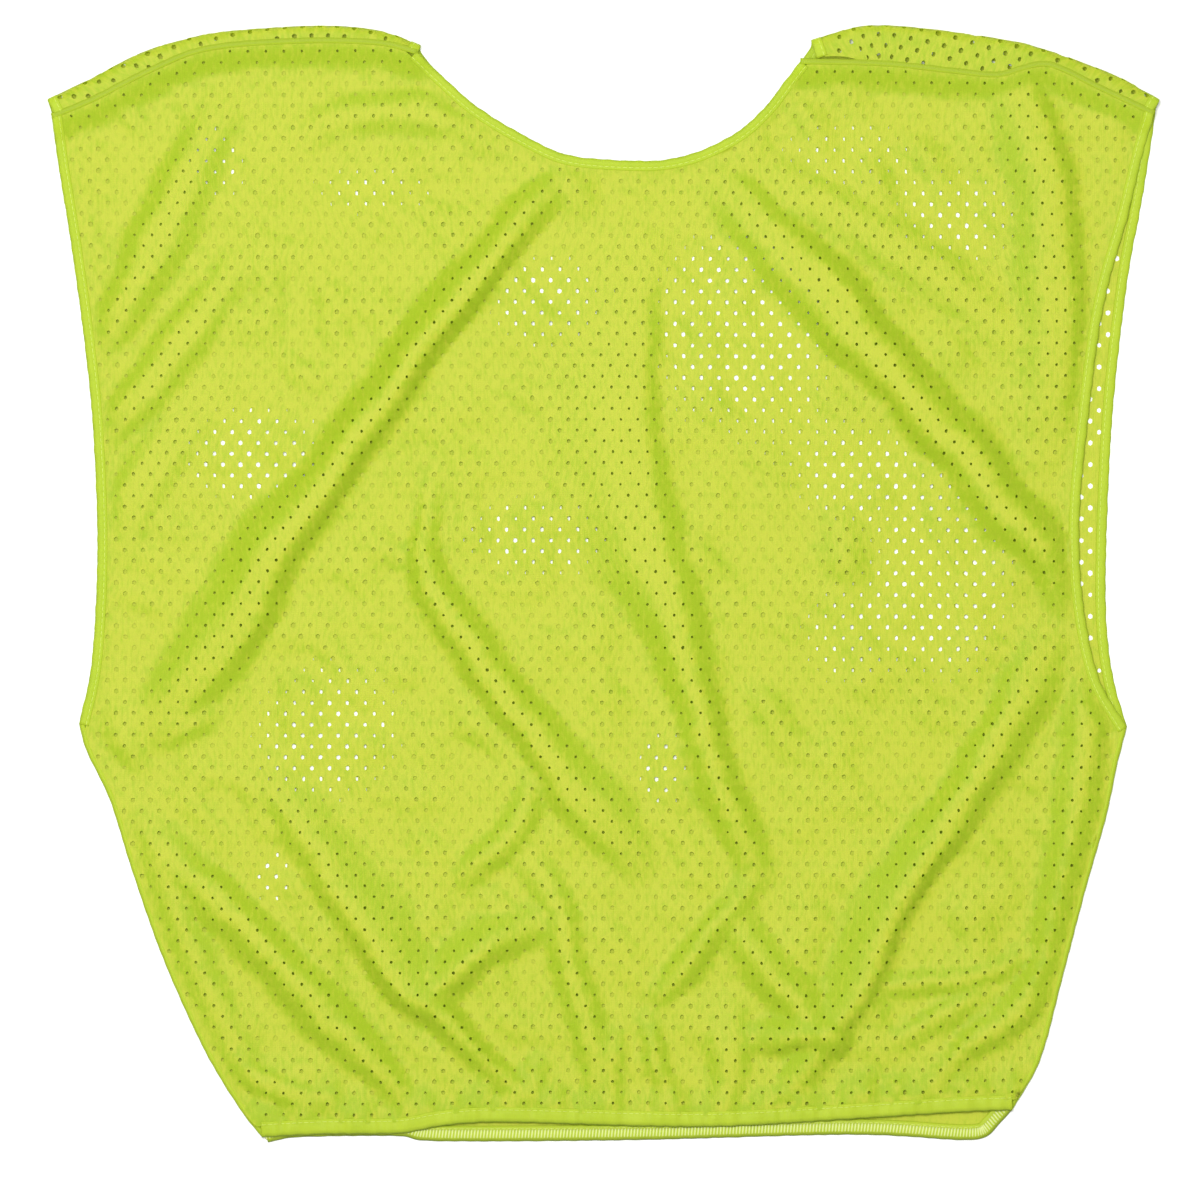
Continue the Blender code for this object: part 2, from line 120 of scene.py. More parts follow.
# The folds of the front, each as points along its crest: across and down the picture's own grid of half
# millimetres, how high it stands, how wide its left and right slopes are as one goes along it, and how
# wide its top is, in millimetres
GRID = 0.5
GRID_CENTRE = (603.4, 583.8)
FOLDS = (
    # The long fold from the neck to the left underarm, and the one to the right underarm
    ((572, 172, 0, 7, 9, 4), (537, 205, 4.5, 8, 12, 4), (500, 250, 7, 8, 13, 5), (457, 302, 8.5, 9, 15, 6),
     (420, 350, 9, 9, 16, 6),
     (385, 402, 9, 9, 15, 7), (348, 452, 9, 9, 16, 8), (315, 502, 9, 10, 19, 8), (276, 552, 9, 11, 22, 10),
     (254, 600, 8, 12, 28, 11), (222, 650, 6, 12, 24, 12), (178, 700, 3.5, 10, 18, 10),
     (130, 745, 0, 8, 12, 8)),
    ((700, 165, 0, 12, 12, 6), (740, 202, 3.5, 12, 15, 10), (785, 250, 6, 13, 16, 13),
     (832, 300, 7.5, 14, 15, 14),
     (872, 350, 8, 14, 12, 12), (915, 400, 8, 14, 11, 10), (960, 450, 8, 15, 12, 9),
     (997, 500, 8, 15, 14, 8), (1042, 550, 7, 14, 14, 7), (1085, 625, 0, 10, 10, 6)),
    # Down the middle of the chest
    ((642, 230, 0, 10, 34, 10), (632, 320, 2.4, 10, 40, 14), (628, 400, 3.8, 11, 46, 16),
     (634, 470, 4.6, 12, 44, 14), (648, 540, 5.2, 17, 34, 12), (672, 610, 6, 15, 20, 8),
     (692, 680, 6, 11, 14, 6), (706, 740, 6, 10, 13, 6), (725, 795, 5.5, 10, 12, 6),
     (742, 840, 4, 10, 10, 6), (770, 890, 0, 8, 8, 5)),
    ((440, 440, 0, 8, 5, 3), (424, 520, 2, 8, 5, 3), (424, 568, 4.5, 10, 7, 5), (455, 625, 6, 12, 8, 7),
     (492, 680, 6, 13, 9, 8), (530, 730, 6, 14, 10, 8), (565, 780, 5.5, 18, 10, 8),
     (600, 825, 4, 22, 10, 8), (650, 880, 0, 12, 8, 6)),
    # From the left side and from the middle down to the waist
    ((252, 740, 0, 14, 10, 3), (300, 835, 4, 26, 10, 3), (350, 915, 6.5, 34, 10, 3),
     (400, 985, 7.5, 30, 9, 2.5), (428, 1007, 7.5, 14, 9, 2.5), (475, 1052, 6, 8, 9, 2.5),
     (530, 1100, 2, 8, 7, 3)),
    ((422, 1010, 5, 20, 8, 2), (455, 976, 7, 22, 10, 2), (490, 947, 6, 20, 11, 3), (525, 930, 3, 14, 10, 4),
     (560, 910, 0, 10, 8, 4)),
    ((450, 890, 0, 8, 8, 4), (480, 862, 3, 9, 9, 4), (505, 845, 3.5, 9, 9, 4), (525, 805, 3, 9, 8, 4),
     (530, 745, 0, 8, 8, 4)),
    ((135, 810, 0, 10, 10, 4), (185, 868, 4, 11, 13, 6), (225, 908, 5.5, 12, 14, 6),
     (265, 945, 6, 12, 14, 6), (300, 985, 6.5, 14, 14, 5), (335, 1025, 6, 14, 13, 5),
     (372, 1062, 5, 12, 11, 4), (412, 1108, 2, 8, 8, 3)),
    ((515, 835, 0, 9, 9, 5), (555, 905, 3, 9, 9, 5), (570, 960, 4, 9, 9, 5), (582, 1010, 4, 9, 9, 5),
     (596, 1060, 3, 9, 9, 5), (610, 1105, 1, 8, 8, 5)),
    ((765, 860, 0, 8, 8, 3), (735, 900, 3.5, 10, 8, 3), (705, 940, 4.5, 10, 8, 3), (675, 975, 4, 10, 8, 3),
     (645, 1008, 0, 8, 8, 3)),
    # From the right underarm down to the waist, with a sharp crest, and what joins it there
    ((1055, 620, 0, 14, 10, 8), (1025, 690, 4.5, 14, 12, 8), (1000, 735, 6, 14, 12, 8),
     (975, 780, 6.5, 12, 13, 6), (948, 830, 7, 10, 18, 5), (918, 875, 7.5, 7, 24, 3),
     (895, 915, 7.5, 6, 26, 2.5), (880, 960, 7, 6, 28, 2), (862, 1000, 7, 6, 26, 2),
     (830, 1040, 6, 6, 16, 2), (790, 1090, 3, 5, 10, 2)),
    ((728, 880, 0, 12, 10, 3), (748, 945, 4, 16, 12, 3), (775, 980, 5.5, 18, 12, 3),
     (805, 1015, 6, 16, 10, 3), (835, 1045, 6, 8, 8, 3)),
    ((755, 1040, 2, 10, 6, 4), (800, 1035, 7, 10, 7, 5), (840, 1040, 5, 10, 7, 4)),
    ((850, 995, 0, 7, 7, 2), (900, 985, 2, 7, 7, 2), (950, 982, 2.5, 7, 7, 2), (1000, 965, 2, 7, 7, 2),
     (1035, 940, 0, 6, 6, 2)),
    ((870, 1055, 0, 6, 9, 2), (920, 1025, 2.5, 6, 10, 2), (960, 1003, 2.5, 6, 10, 2),
     (1010, 980, 0, 6, 8, 2)),
    ((1090, 640, 0, 8, 12, 8), (1088, 720, 4.5, 9, 14, 8), (1085, 780, 5, 10, 15, 8),
     (1078, 850, 5.5, 12, 15, 8), (1065, 920, 5.5, 12, 14, 8), (1045, 980, 5, 12, 12, 6),
     (1005, 1020, 4.5, 10, 10, 5), (965, 1050, 4, 8, 8, 4), (930, 1090, 2, 6, 6, 3)),
    # By the left armhole and the left side
    ((235, 80, 0, 12, 10, 8), (200, 150, 3, 14, 12, 8), (175, 205, 4, 16, 13, 8), (150, 255, 4, 15, 12, 8),
     (125, 300, 4, 12, 10, 8), (95, 355, 1, 8, 8, 6)),
    ((255, 235, 0, 8, 8, 8), (215, 300, 2.5, 10, 10, 8), (175, 352, 3.5, 11, 11, 8),
     (140, 398, 3.5, 11, 10, 8), (98, 445, 1, 8, 8, 6)),
    ((215, 385, 0, 10, 10, 10), (165, 450, 2, 12, 10, 12), (132, 505, 2.2, 12, 10, 12),
     (112, 590, 0, 10, 8, 10)),
    ((225, 695, 0, 8, 8, 4), (190, 722, 2.6, 8, 8, 5), (140, 742, 0, 8, 8, 4)),
    ((100, 770, 0, 10, 8, 12), (150, 880, 3, 12, 8, 14), (185, 960, 3, 12, 8, 14),
     (225, 1040, 2.5, 10, 7, 12), (265, 1100, 0, 8, 6, 8)),
    ((205, 1030, 0, 6, 6, 6), (240, 1068, 3, 6, 6, 6), (280, 1090, 3.5, 6, 6, 6), (335, 1100, 2, 6, 6, 6)),
    ((275, 160, 0, 10, 10, 4), (340, 118, 2, 12, 12, 4), (420, 112, 2.3, 12, 12, 4),
     (490, 135, 1.6, 12, 12, 4), (550, 170, 0, 10, 10, 4)),
    # By the right armhole
    ((1000, 40, 1, 9, 18, 10), (1035, 130, 4.5, 10, 20, 12), (1050, 190, 5, 10, 22, 12),
     (1056, 250, 5, 10, 22, 12), (1058, 310, 4.5, 10, 22, 12), (1056, 380, 3.5, 10, 20, 12),
     (1050, 470, 0, 10, 16, 10)),
    ((725, 155, 0, 14, 14, 8), (800, 195, 1.9, 14, 14, 8), (860, 225, 2.3, 14, 14, 8),
     (930, 270, 2.3, 14, 14, 8), (1000, 325, 1.5, 14, 14, 8), (1050, 375, 0, 14, 14, 8)),
    # Short gathers that rise from the waist hem
    ((336, 1068, 0, 5, 5, 3), (332, 1092, 2.6, 5, 5, 3), (330, 1114, 2, 5, 5, 3)),
    ((480, 1062, 0, 5, 5, 3), (486, 1088, 2.2, 5, 5, 3), (490, 1112, 2, 5, 5, 3)),
    ((540, 1050, 0, 6, 5, 3), (534, 1080, 2.8, 6, 5, 3), (530, 1112, 2, 5, 5, 3)),
    ((646, 1005, 0, 6, 6, 3), (655, 1045, 3.2, 6, 7, 3), (664, 1080, 3, 6, 6, 3), (672, 1112, 2, 5, 5, 3)),
    ((612, 1020, 0, 6, 6, 3), (614, 1050, 2.6, 6, 6, 3), (612, 1090, 2.4, 6, 5, 3), (612, 1112, 2, 5, 5, 3)),
    ((720, 990, 0, 9, 8, 8), (728, 1040, 3, 9, 9, 10), (726, 1080, 2.8, 9, 8, 8), (724, 1112, 1.5, 7, 7, 6)),
    ((870, 1065, 0, 6, 6, 4), (866, 1090, 2.6, 6, 6, 4), (864, 1110, 2, 6, 6, 4)),
    ((905, 1062, 0, 5, 6, 3), (900, 1085, 2.8, 4, 6, 3), (896, 1106, 2, 4, 6, 3)),
    ((965, 1068, 0, 5, 6, 3), (958, 1085, 2.6, 4, 6, 3), (952, 1104, 2, 4, 6, 3)),
)


CURVE_STEPS = 16


def smooth_step(value):
    """0 below 0, 1 above 1, and 3 v squared minus 2 v cubed between."""
    value = np.clip(value, 0, 1)
    return value * value * (3 - 2 * value)


def distances_along(points):
    """How far each point is along the line through them all."""
    return np.concatenate([[0], np.cumsum(np.linalg.norm(np.diff(points, axis=0), axis=1))])


def equal_steps(points, cells):
    """The line through the points again, as that many equal steps."""
    travelled = distances_along(points)
    wanted = np.linspace(0, travelled[-1], cells + 1)
    return np.column_stack([np.interp(wanted, travelled, column) for column in points.T])


def smooth_curve(rows, cells):
    """Points at equal steps along the Catmull-Rom curve through the rows."""
    rows = np.array(rows, float)
    knots = np.vstack([2 * rows[0] - rows[1], rows, 2 * rows[-1] - rows[-2]])
    share = np.linspace(0, 1, CURVE_STEPS, endpoint=False)[:, None]
    spans = []
    for before, start, end, after in zip(knots, knots[1:], knots[2:], knots[3:]):
        bend = 2 * before - 5 * start + 4 * end - after
        twist = 3 * (start - end) + after - before
        spans.append(start + share / 2 * (end - before + share * (bend + share * twist)))
    return equal_steps(np.vstack([*spans, rows[-1:]]), cells)


def inset_rows(edges, depths):
    """The edges of a closed outline moved inwards, each by its own depth, still meeting at the corners."""
    loop = np.vstack([rows[:-1] for rows in edges])
    depth = np.concatenate([np.full(len(rows) - 1, deep) for rows, deep in zip(edges, depths)])
    depth_before = np.roll(depth, 1)
    along = np.roll(loop, -1, axis=0) - loop
    along /= np.linalg.norm(along, axis=1)[:, None]
    inward = np.column_stack([-along[:, 1], along[:, 0]])
    inward_before = np.roll(inward, 1, axis=0)
    likeness = (inward * inward_before).sum(axis=1)
    shared = (depth + depth_before) / 2 / (1 + likeness)
    split = (depth - depth_before) / 2 / np.maximum(1 - likeness, 1e-9)
    moved = loop + shared[:, None] * (inward + inward_before) + split[:, None] * (inward - inward_before)
    moved = np.vstack([moved, moved[:1]])
    stops = np.cumsum([0] + [len(rows) - 1 for rows in edges])
    return [moved[first:last + 1] for first, last in zip(stops, stops[1:])]


Outline = namedtuple(
    "Outline",
    "waist right_side right_armhole right_shoulder neck left_shoulder left_armhole left_side",
)
CELLS = Outline(186, 110, 160, 90, 130, 90, 160, 110)
FRONT_OUTLINE = Outline(
    waist=FRONT_WAIST,
    right_side=(FRONT_WAIST[-1], *RIGHT_SIDE, RIGHT_UNDERARM),
    right_armhole=(RIGHT_UNDERARM, *FRONT_RIGHT_ARMHOLE, FRONT_RIGHT_TIP),
    right_shoulder=(FRONT_RIGHT_TIP, *FRONT_RIGHT_SHOULDER, FRONT_NECK_RIGHT),
    neck=(FRONT_NECK_RIGHT, *NECK, FRONT_NECK_LEFT),
    left_shoulder=(FRONT_NECK_LEFT, *FRONT_LEFT_SHOULDER, FRONT_LEFT_TIP),
    left_armhole=(FRONT_LEFT_TIP, *LEFT_ARMHOLE, LEFT_UNDERARM),
    left_side=(LEFT_UNDERARM, *LEFT_SIDE, FRONT_WAIST[0]),
)


def edge_curves(outline, waist=0.0, side=0.0, armhole=0.0, shoulder=0.0, neck=0.0):
    """The outline's edges as smooth curves, each moved inwards by the depth given for its kind."""
    moved = inset_rows(outline, [waist, side, armhole, shoulder, neck, shoulder, armhole, side])
    return Outline(*(smooth_curve(rows, cells) for rows, cells in zip(moved, CELLS)))


front_edge = edge_curves(FRONT_OUTLINE)
seam_points = np.vstack([front_edge.right_shoulder, front_edge.left_shoulder])
low_edges = np.vstack([
    front_edge.waist, front_edge.right_side, front_edge.right_armhole,
    front_edge.neck, front_edge.left_armhole, front_edge.left_side,
])


def distance_to(points, x, y):
    """How far each (x, y) is from the nearest of the points."""
    nearest = np.full(x.shape, 1e9)
    for few in np.array_split(points, 8):
        away = np.hypot(x[..., None] - few[:, 0], y[..., None] - few[:, 1]).min(axis=-1)
        nearest = np.minimum(nearest, away)
    return nearest


FOLD_STEPS = 60
FOLD_END = 6.0


def fold_height(fold, x, y):
    """Height that one fold adds. At each place along its crest it is full over the top's width, and falls
    down each slope as a smooth step of the distance beyond."""
    line = smooth_curve([
        (GRID * (across - GRID_CENTRE[0]), GRID * (GRID_CENTRE[1] - down), *sizes)
        for across, down, *sizes in fold
    ], FOLD_STEPS)
    line, (high, left, right, top) = line[:, :2], line[:, 2:].T
    reach = max(left.max(), right.max()) + top.max()
    near = (x > line[:, 0].min() - reach) & (x < line[:, 0].max() + reach)
    near &= (y > line[:, 1].min() - reach) & (y < line[:, 1].max() + reach)
    off = np.stack([x[near], y[near]], axis=-1)[:, None] - line[None]
    nearest = (off**2).sum(axis=-1).argmin(axis=-1)
    off = off[np.arange(len(off)), nearest]
    heading = np.gradient(line, axis=0)
    step = np.linalg.norm(heading, axis=1)
    heading = (heading / step[:, None])[nearest]
    beside = heading[:, 0] * off[:, 1] - heading[:, 1] * off[:, 0]
    ahead = (heading * off).sum(axis=1)
    place = np.clip(nearest + ahead / step[nearest], 0, len(line) - 1)
    high, left, right, top = (np.interp(place, np.arange(len(line)), one) for one in (high, left, right, top))
    past_end = np.maximum(np.abs(ahead) - step[nearest], 0)
    past_end[(nearest > 0) & (nearest < len(line) - 1)] = 0
    slope = np.where(beside > 0, left, right)
    height = np.zeros(x.shape)
    height[near] = (
        np.maximum(high, 0)
        * smooth_step(1 - (np.abs(beside) - top / 2) / slope)
        * smooth_step(1 - past_end / FOLD_END)
    )
    return height


def blend_heights(heights):
    """The highest of the heights, as the cube root of the sum of their cubes."""
    return sum(height**3 for height in heights) ** (1 / 3)


def gather_height(x, to_waist):
    """Uneven waves that fade away from the waist: a few long ones, and short puckers at the elastic."""
    share = (x - FRONT_WAIST[0][0]) / (FRONT_WAIST[-1][0] - FRONT_WAIST[0][0])
    phase = 2 * np.pi * GATHERS * share
    phase += GATHER_UNEVENNESS * np.sin(2 * np.pi * GATHER_SWAYS * share)
    fade = smooth_step(to_waist / EDGE_SLOPE) * smooth_step(1 - to_waist / GATHER_LENGTH)
    waves = GATHER_HEIGHT * fade * (1 + np.cos(phase)) / 2
    phase = 2 * np.pi * PUCKERS * share
    phase += PUCKER_UNEVENNESS * np.sin(2 * np.pi * PUCKER_SWAYS * share)
    fade = smooth_step(PUCKER_REACH - to_waist / PUCKER_LENGTH)
    return waves + PUCKER_HEIGHT * fade * (1 + np.cos(phase)) / 2


UNDULATIONS = 26
UNDULATION_HEIGHT = 0.55
UNDULATION_SHARE = 0.6
random = np.random.default_rng(11)
wave_turns = random.uniform(0, 2 * np.pi, UNDULATIONS)
wave_lengths = random.uniform(18, 80, UNDULATIONS)
wave_starts = random.uniform(0, 2 * np.pi, UNDULATIONS)


def sum_of_waves(x, y, turns, lengths, starts):
    """The sum of sine waves over the cloth, each with its own direction, length and start."""
    total = np.zeros(x.shape)
    for turn, length, start in zip(turns, lengths, starts):
        total += np.sin(2 * np.pi * (x * np.cos(turn) + y * np.sin(turn)) / length + start)
    return total


def undulation(x, y):
    """Small uneven rises all over the cloth: the sum of waves of many directions and lengths, above 0."""
    total = sum_of_waves(x, y, wave_turns, wave_lengths, wave_starts)
    return UNDULATION_HEIGHT * np.maximum(total / np.sqrt(UNDULATIONS / 2) + UNDULATION_SHARE, 0)


FOLD_WANDER = 1.5
WANDER_WAVES = 8
WANDER_LENGTHS = (22, 60)


def wandering(x, y, seed):
    """A smooth uneven value over the cloth, mostly between -1 and 1, from waves of random directions."""
    chance = np.random.default_rng(seed)
    turns = chance.uniform(0, 2 * np.pi, WANDER_WAVES)
    lengths = chance.uniform(*WANDER_LENGTHS, WANDER_WAVES)
    starts = chance.uniform(0, 2 * np.pi, WANDER_WAVES)
    return sum_of_waves(x, y, turns, lengths, starts) * 2 / WANDER_WAVES


def front_height(x, y):
    """Height of the middle of the front's cloth over the floor. The folds' lines wander a little."""
    away_x = FOLD_WANDER * wandering(x, y, 5)
    away_y = FOLD_WANDER * wandering(x, y, 6)
    folds = blend_heights(
        [fold_height(fold, x + away_x, y + away_y) for fold in FOLDS] + [undulation(x, y)]
    )
    to_edge = distance_to(low_edges, x, y)
    folds = folds * smooth_step(to_edge / EDGE_SLOPE)
    shoulders = (SHOULDER_LEVEL - FRONT_LEVEL) * smooth_step(
        1 - distance_to(seam_points, x, y) / SHOULDER_SLOPE
    )
    to_waist = distance_to(front_edge.waist, x, y)
    waist = WAIST_LIFT * smooth_step(1 - to_waist / WAIST_SLOPE)
    edges = LOW_EDGE_LIFT * smooth_step(LOW_EDGE_REACH - to_edge / LOW_EDGE_SLOPE)
    return FRONT_LEVEL + blend_heights([folds, shoulders, waist + gather_height(x, to_waist), edges])


# Where front and back lie with their holes in line, so that the floor shows through both: the middle of
# each place and its reach across and down, on the same grid, and how well they are in line
Contact = namedtuple("Contact", "across down reach_across reach_down fit")
CONTACTS = (
    Contact(250, 458, 85, 62, 1.0), Contact(325, 728, 92, 92, 1.0), Contact(545, 300, 70, 62, 1.0),
    Contact(740, 345, 115, 130, 1.0), Contact(850, 470, 80, 60, 0.9), Contact(545, 535, 105, 52, 0.95),
    Contact(945, 575, 78, 130, 1.0), Contact(845, 640, 60, 70, 0.85), Contact(960, 220, 90, 62, 0.95),
    Contact(850, 150, 95, 50, 0.8), Contact(662, 770, 30, 48, 1.0), Contact(385, 190, 95, 36, 0.85),
    Contact(215, 165, 40, 50, 0.75), Contact(272, 878, 24, 34, 0.9), Contact(1110, 330, 26, 110, 0.9),
)
LIE_APART = (HOLE_PITCH / 2, 0.6)
DRIFT = (0.8, 0.5)


def front_slip(x, y):
    """How far the front's holes lie beside the back's: next to nothing in the contacts, half a pitch
    elsewhere."""
    apart = np.ones(x.shape)
    for contact in CONTACTS:
        off_x = (x / GRID + GRID_CENTRE[0] - contact.across) / contact.reach_across
        off_y = (GRID_CENTRE[1] - y / GRID - contact.down) / contact.reach_down
        apart *= 1 - contact.fit * np.exp(-((off_x**2 + off_y**2) ** 1.5))
    drift = 0.5 * np.sin(x / 37 + y / 61) + 0.4 * np.sin(y / 29 - x / 83)
    return apart[..., None] * LIE_APART + drift[..., None] * DRIFT


def inside(outline, points):
    """Which points are inside a closed outline, by counting the edges to the right of each."""
    ends = np.roll(outline, -1, axis=0)
    odd = np.zeros(len(points), bool)
    for (x0, y0), (x1, y1) in zip(outline, ends):
        if y0 == y1:
            continue
        crosses = (points[:, 1] > min(y0, y1)) & (points[:, 1] <= max(y0, y1))
        odd ^= crosses & (points[:, 0] < x0 + (points[:, 1] - y0) * (x1 - x0) / (y1 - y0))
    return odd


def nearest_on(outline, points):
    """The nearest point of a closed outline to each point, and how far it is."""
    step = np.roll(outline, -1, axis=0) - outline
    length = np.maximum((step**2).sum(axis=1), 1e-12)
    best = np.full(len(points), 1e9)
    found = points.copy()
    for start, stride, square in zip(outline, step, length):
        share = np.clip((points - start) @ stride / square, 0, 1)
        foot = start + share[:, None] * stride
        away = ((points - foot) ** 2).sum(axis=1)
        closer = away < best
        best[closer] = away[closer]
        found[closer] = foot[closer]
    return found, np.sqrt(best)


def mesh_cloth(outline, slip, place, tightness=None, closed_below=None):
    """Mesh cloth cut to an outline, as points, quads and their places in the knit.

    The cloth is a honeycomb of cells in staggered rows, each with a six-sided hole in its middle. A cell
    that meets the outline has no hole, and its corners outside are moved on to the outline. slip moves the
    knit in the plane and place lifts it to its height."""
    low = outline.min(axis=0) - 3 * HOLE_PITCH
    high = outline.max(axis=0) + 3 * HOLE_PITCH
    rows = np.arange(int(low[1] // ROW_PITCH), int(high[1] // ROW_PITCH) + 1)
    columns = np.arange(int(low[0] // HOLE_PITCH), int(high[0] // HOLE_PITCH) + 1)
    row, column = np.meshgrid(rows, columns, indexing="ij")
    centre = np.stack([(column + (row % 2) / 2) * HOLE_PITCH, row * ROW_PITCH], axis=-1)
    knit_corner = np.stack([centre + (0, CELL_TOP), centre - (0, CELL_TOP)], axis=2)
    corner = knit_corner + slip(knit_corner[..., 0], knit_corner[..., 1])
    numbers = np.arange(row.size * 2).reshape(*row.shape, 2)
    within = inside(outline, corner.reshape(-1, 2)).reshape(numbers.shape)

    # Each cell's corners: its own top and bottom, and those of the cells up and down on either side
    inner = (slice(1, -1), slice(1, -1))
    odd = (row % 2 == 1)[inner]

    def beside(values, up, right, which):
        """The values of the neighbour up or down and to the right or left, for every inner cell."""
        shifted = values[1 + up:values.shape[0] - 1 + up, :, which]
        even_rows = shifted[:, 1 + (right - 1):values.shape[1] - 1 + (right - 1)]
        odd_rows = shifted[:, 1 + right:values.shape[1] - 1 + right]
        keep = odd if even_rows.ndim == 2 else odd[..., None]
        return np.where(keep, odd_rows, even_rows)

    order = (
        numbers[inner][..., 0],
        beside(numbers, 1, 0, 1),
        beside(numbers, -1, 0, 0),
        numbers[inner][..., 1],
        beside(numbers, -1, 1, 0),
        beside(numbers, 1, 1, 1),
    )
    cell = np.stack(order, axis=-1).reshape(-1, 6)
    middle = centre[inner].reshape(-1, 2)
    middle_slipped = middle + slip(middle[:, 0], middle[:, 1])
    touched = within.reshape(-1)[cell].any(axis=1)
    cell, middle, middle_slipped = cell[touched], middle[touched], middle_slipped[touched]
    _, to_outline = nearest_on(outline, middle_slipped)
    open_cell = inside(outline, middle_slipped) & (to_outline > EDGE_MARGIN)
    if closed_below is not None:
        open_cell &= middle_slipped[:, 1] > closed_below

    corner = corner.reshape(-1, 2)
    outside = ~within.reshape(-1)
    outside &= np.isin(np.arange(len(corner)), cell)
    corner[outside], _ = nearest_on(outline, corner[outside])

    # The holes, a little uneven in size and turn as knitted ones are
    holes = middle[open_cell]
    holes_slipped = middle_slipped[open_cell]
    spread = 1 + HOLE_UNEVENNESS * random.standard_normal((len(holes), 1, 1))
    if tightness is not None:
        spread = spread * tightness(holes_slipped[:, 0], holes_slipped[:, 1])[:, None, None]
    half_width, half_height = HOLE_WIDTH / 2, HOLE_HEIGHT / 2
    shape = np.array([
        (0, half_height), (-half_width, half_height * 0.5), (-half_width, -half_height * 0.5),
        (0, -half_height), (half_width, -half_height * 0.5), (half_width, half_height * 0.5),
    ])
    rim = shape * spread
    rim = rim + random.normal(0, CORNER_UNEVENNESS, rim.shape)
    ring = (holes_slipped[:, None] + rim).reshape(-1, 2)
    knit_ring = (holes[:, None] + rim).reshape(-1, 2)

    ring_numbers = len(corner) + np.arange(len(ring)).reshape(-1, 6)
    round_hole = cell[open_cell]
    quads = np.stack(
        [round_hole, np.roll(round_hole, -1, axis=1), np.roll(ring_numbers, -1, axis=1), ring_numbers],
        axis=-1,
    ).reshape(-1, 4)
    closed = cell[~open_cell]
    halves = np.vstack([closed[:, [0, 1, 2, 3]], closed[:, [3, 4, 5, 0]]])
    quads = np.vstack([quads, halves])
    flat = np.vstack([corner, ring])
    knit = np.vstack([knit_corner.reshape(-1, 2), knit_ring])

    # Cells squeezed to nothing on the outline are left out, and so are points that no cell uses
    diagonal_a = flat[quads[:, 2]] - flat[quads[:, 0]]
    diagonal_b = flat[quads[:, 3]] - flat[quads[:, 1]]
    area = diagonal_a[:, 0] * diagonal_b[:, 1] - diagonal_a[:, 1] * diagonal_b[:, 0]
    quads = quads[area > SMALLEST_AREA]
    used, quads = np.unique(quads, return_inverse=True)
    quads = quads.reshape(-1, 4)
    flat, knit = flat[used], knit[used]
    return place(flat[:, 0], flat[:, 1]), quads, knit / (HOLE_PITCH, ROW_PITCH)


def closed_outline(edges):
    """Eight edges as one closed outline."""
    return np.vstack([edge[:-1] for edge in edges])


def make_piece(name, points, faces, uv=None):
    """A piece's object, from points in millimetres."""
    mesh = bpy.data.meshes.new(name)
    mesh.from_pydata((points * MM).tolist(), [], faces)
    if uv is not None:
        layer = mesh.uv_layers.new(name="Knit")
        loops = np.empty(len(mesh.loops), np.int32)
        mesh.loops.foreach_get("vertex_index", loops)
        layer.data.foreach_set("uv", uv[loops].astype(np.float32).reshape(-1))
    mesh.shade_smooth()
    mesh.update()
    piece = bpy.data.objects.new(name, mesh)
    bpy.context.scene.collection.objects.link(piece)
    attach(piece, "root")
    return piece


def add_values(piece, name, values):
    """Gives each point of a piece a value that its material reads by name."""
    attribute = piece.data.attributes.new(name, "FLOAT", "POINT")
    attribute.data.foreach_set("value", values.astype(np.float32))


def make_cloth(name, points, quads, uv, slope_shade):
    """A sheet's piece: the surface given, half the cloth's thickness above and below it, with walls round
    its edge and its holes. The rims are sharp, so the shading of the flat cloth doesn't turn into them.
    The last argument is how far each point's cloth stands aslant, from 0 to 1; its material paints the cloth
    deeper by it, as painted shade on the slopes."""
    corners = points[quads]
    across = np.cross(corners[:, 2] - corners[:, 0], corners[:, 3] - corners[:, 1])
    normal = np.stack([
        np.bincount(quads.reshape(-1), np.repeat(across[:, axis], 4), len(points)) for axis in range(3)
    ], axis=-1)
    normal /= np.linalg.norm(normal, axis=1)[:, None]
    count = len(points)
    start = quads.reshape(-1)
    end = np.roll(quads, -1, axis=1).reshape(-1)
    rim = ~np.isin(start * count + end, end * count + start)
    start, end = start[rim], end[rim]
    walls = np.stack([end, start, start + count, end + count], axis=-1)
    both = np.vstack([points + normal * CLOTH / 2, points - normal * CLOTH / 2])
    faces = np.vstack([quads, quads[:, ::-1] + count, walls]).tolist()
    piece = make_piece(name, both, faces, np.vstack([uv, uv]))
    mesh = piece.data
    ends = np.empty(len(mesh.edges) * 2, np.int32)
    mesh.edges.foreach_get("vertices", ends)
    ends = np.sort(ends.reshape(-1, 2), axis=1).astype(np.int64)
    rims = np.sort(np.stack([start, end], axis=-1), axis=1)
    rims = np.vstack([rims, rims + count])
    sharp = np.isin(ends[:, 0] * 4 * count + ends[:, 1], rims[:, 0] * 4 * count + rims[:, 1])
    mesh.attributes.new("sharp_edge", "BOOLEAN", "EDGE").data.foreach_set("value", sharp)
    add_values(piece, "Slope_shade", np.concatenate([slope_shade, slope_shade]))
    return piece


class Socket:
    """A socket of a material's nodes, with sums and products of sockets and numbers as Math nodes."""

    def __init__(self, tree, output):
        self.tree = tree
        self.output = output

    def math(self, operation, *others):
        node = self.tree.nodes.new("ShaderNodeMath")
        node.operation = operation
        for slot, value in zip(node.inputs, (self, *others)):
            join(self.tree, slot, value)
        return Socket(self.tree, node.outputs[0])

    def __add__(self, other):
        return self.math("ADD", other)

    def __sub__(self, other):
        return self.math("SUBTRACT", other)

    def __mul__(self, other):
        return self.math("MULTIPLY", other)


def join(tree, slot, value):
    """Links a socket, or writes a constant."""
    if isinstance(value, Socket):
        tree.links.new(value.output, slot)
    else:
        slot.default_value = value


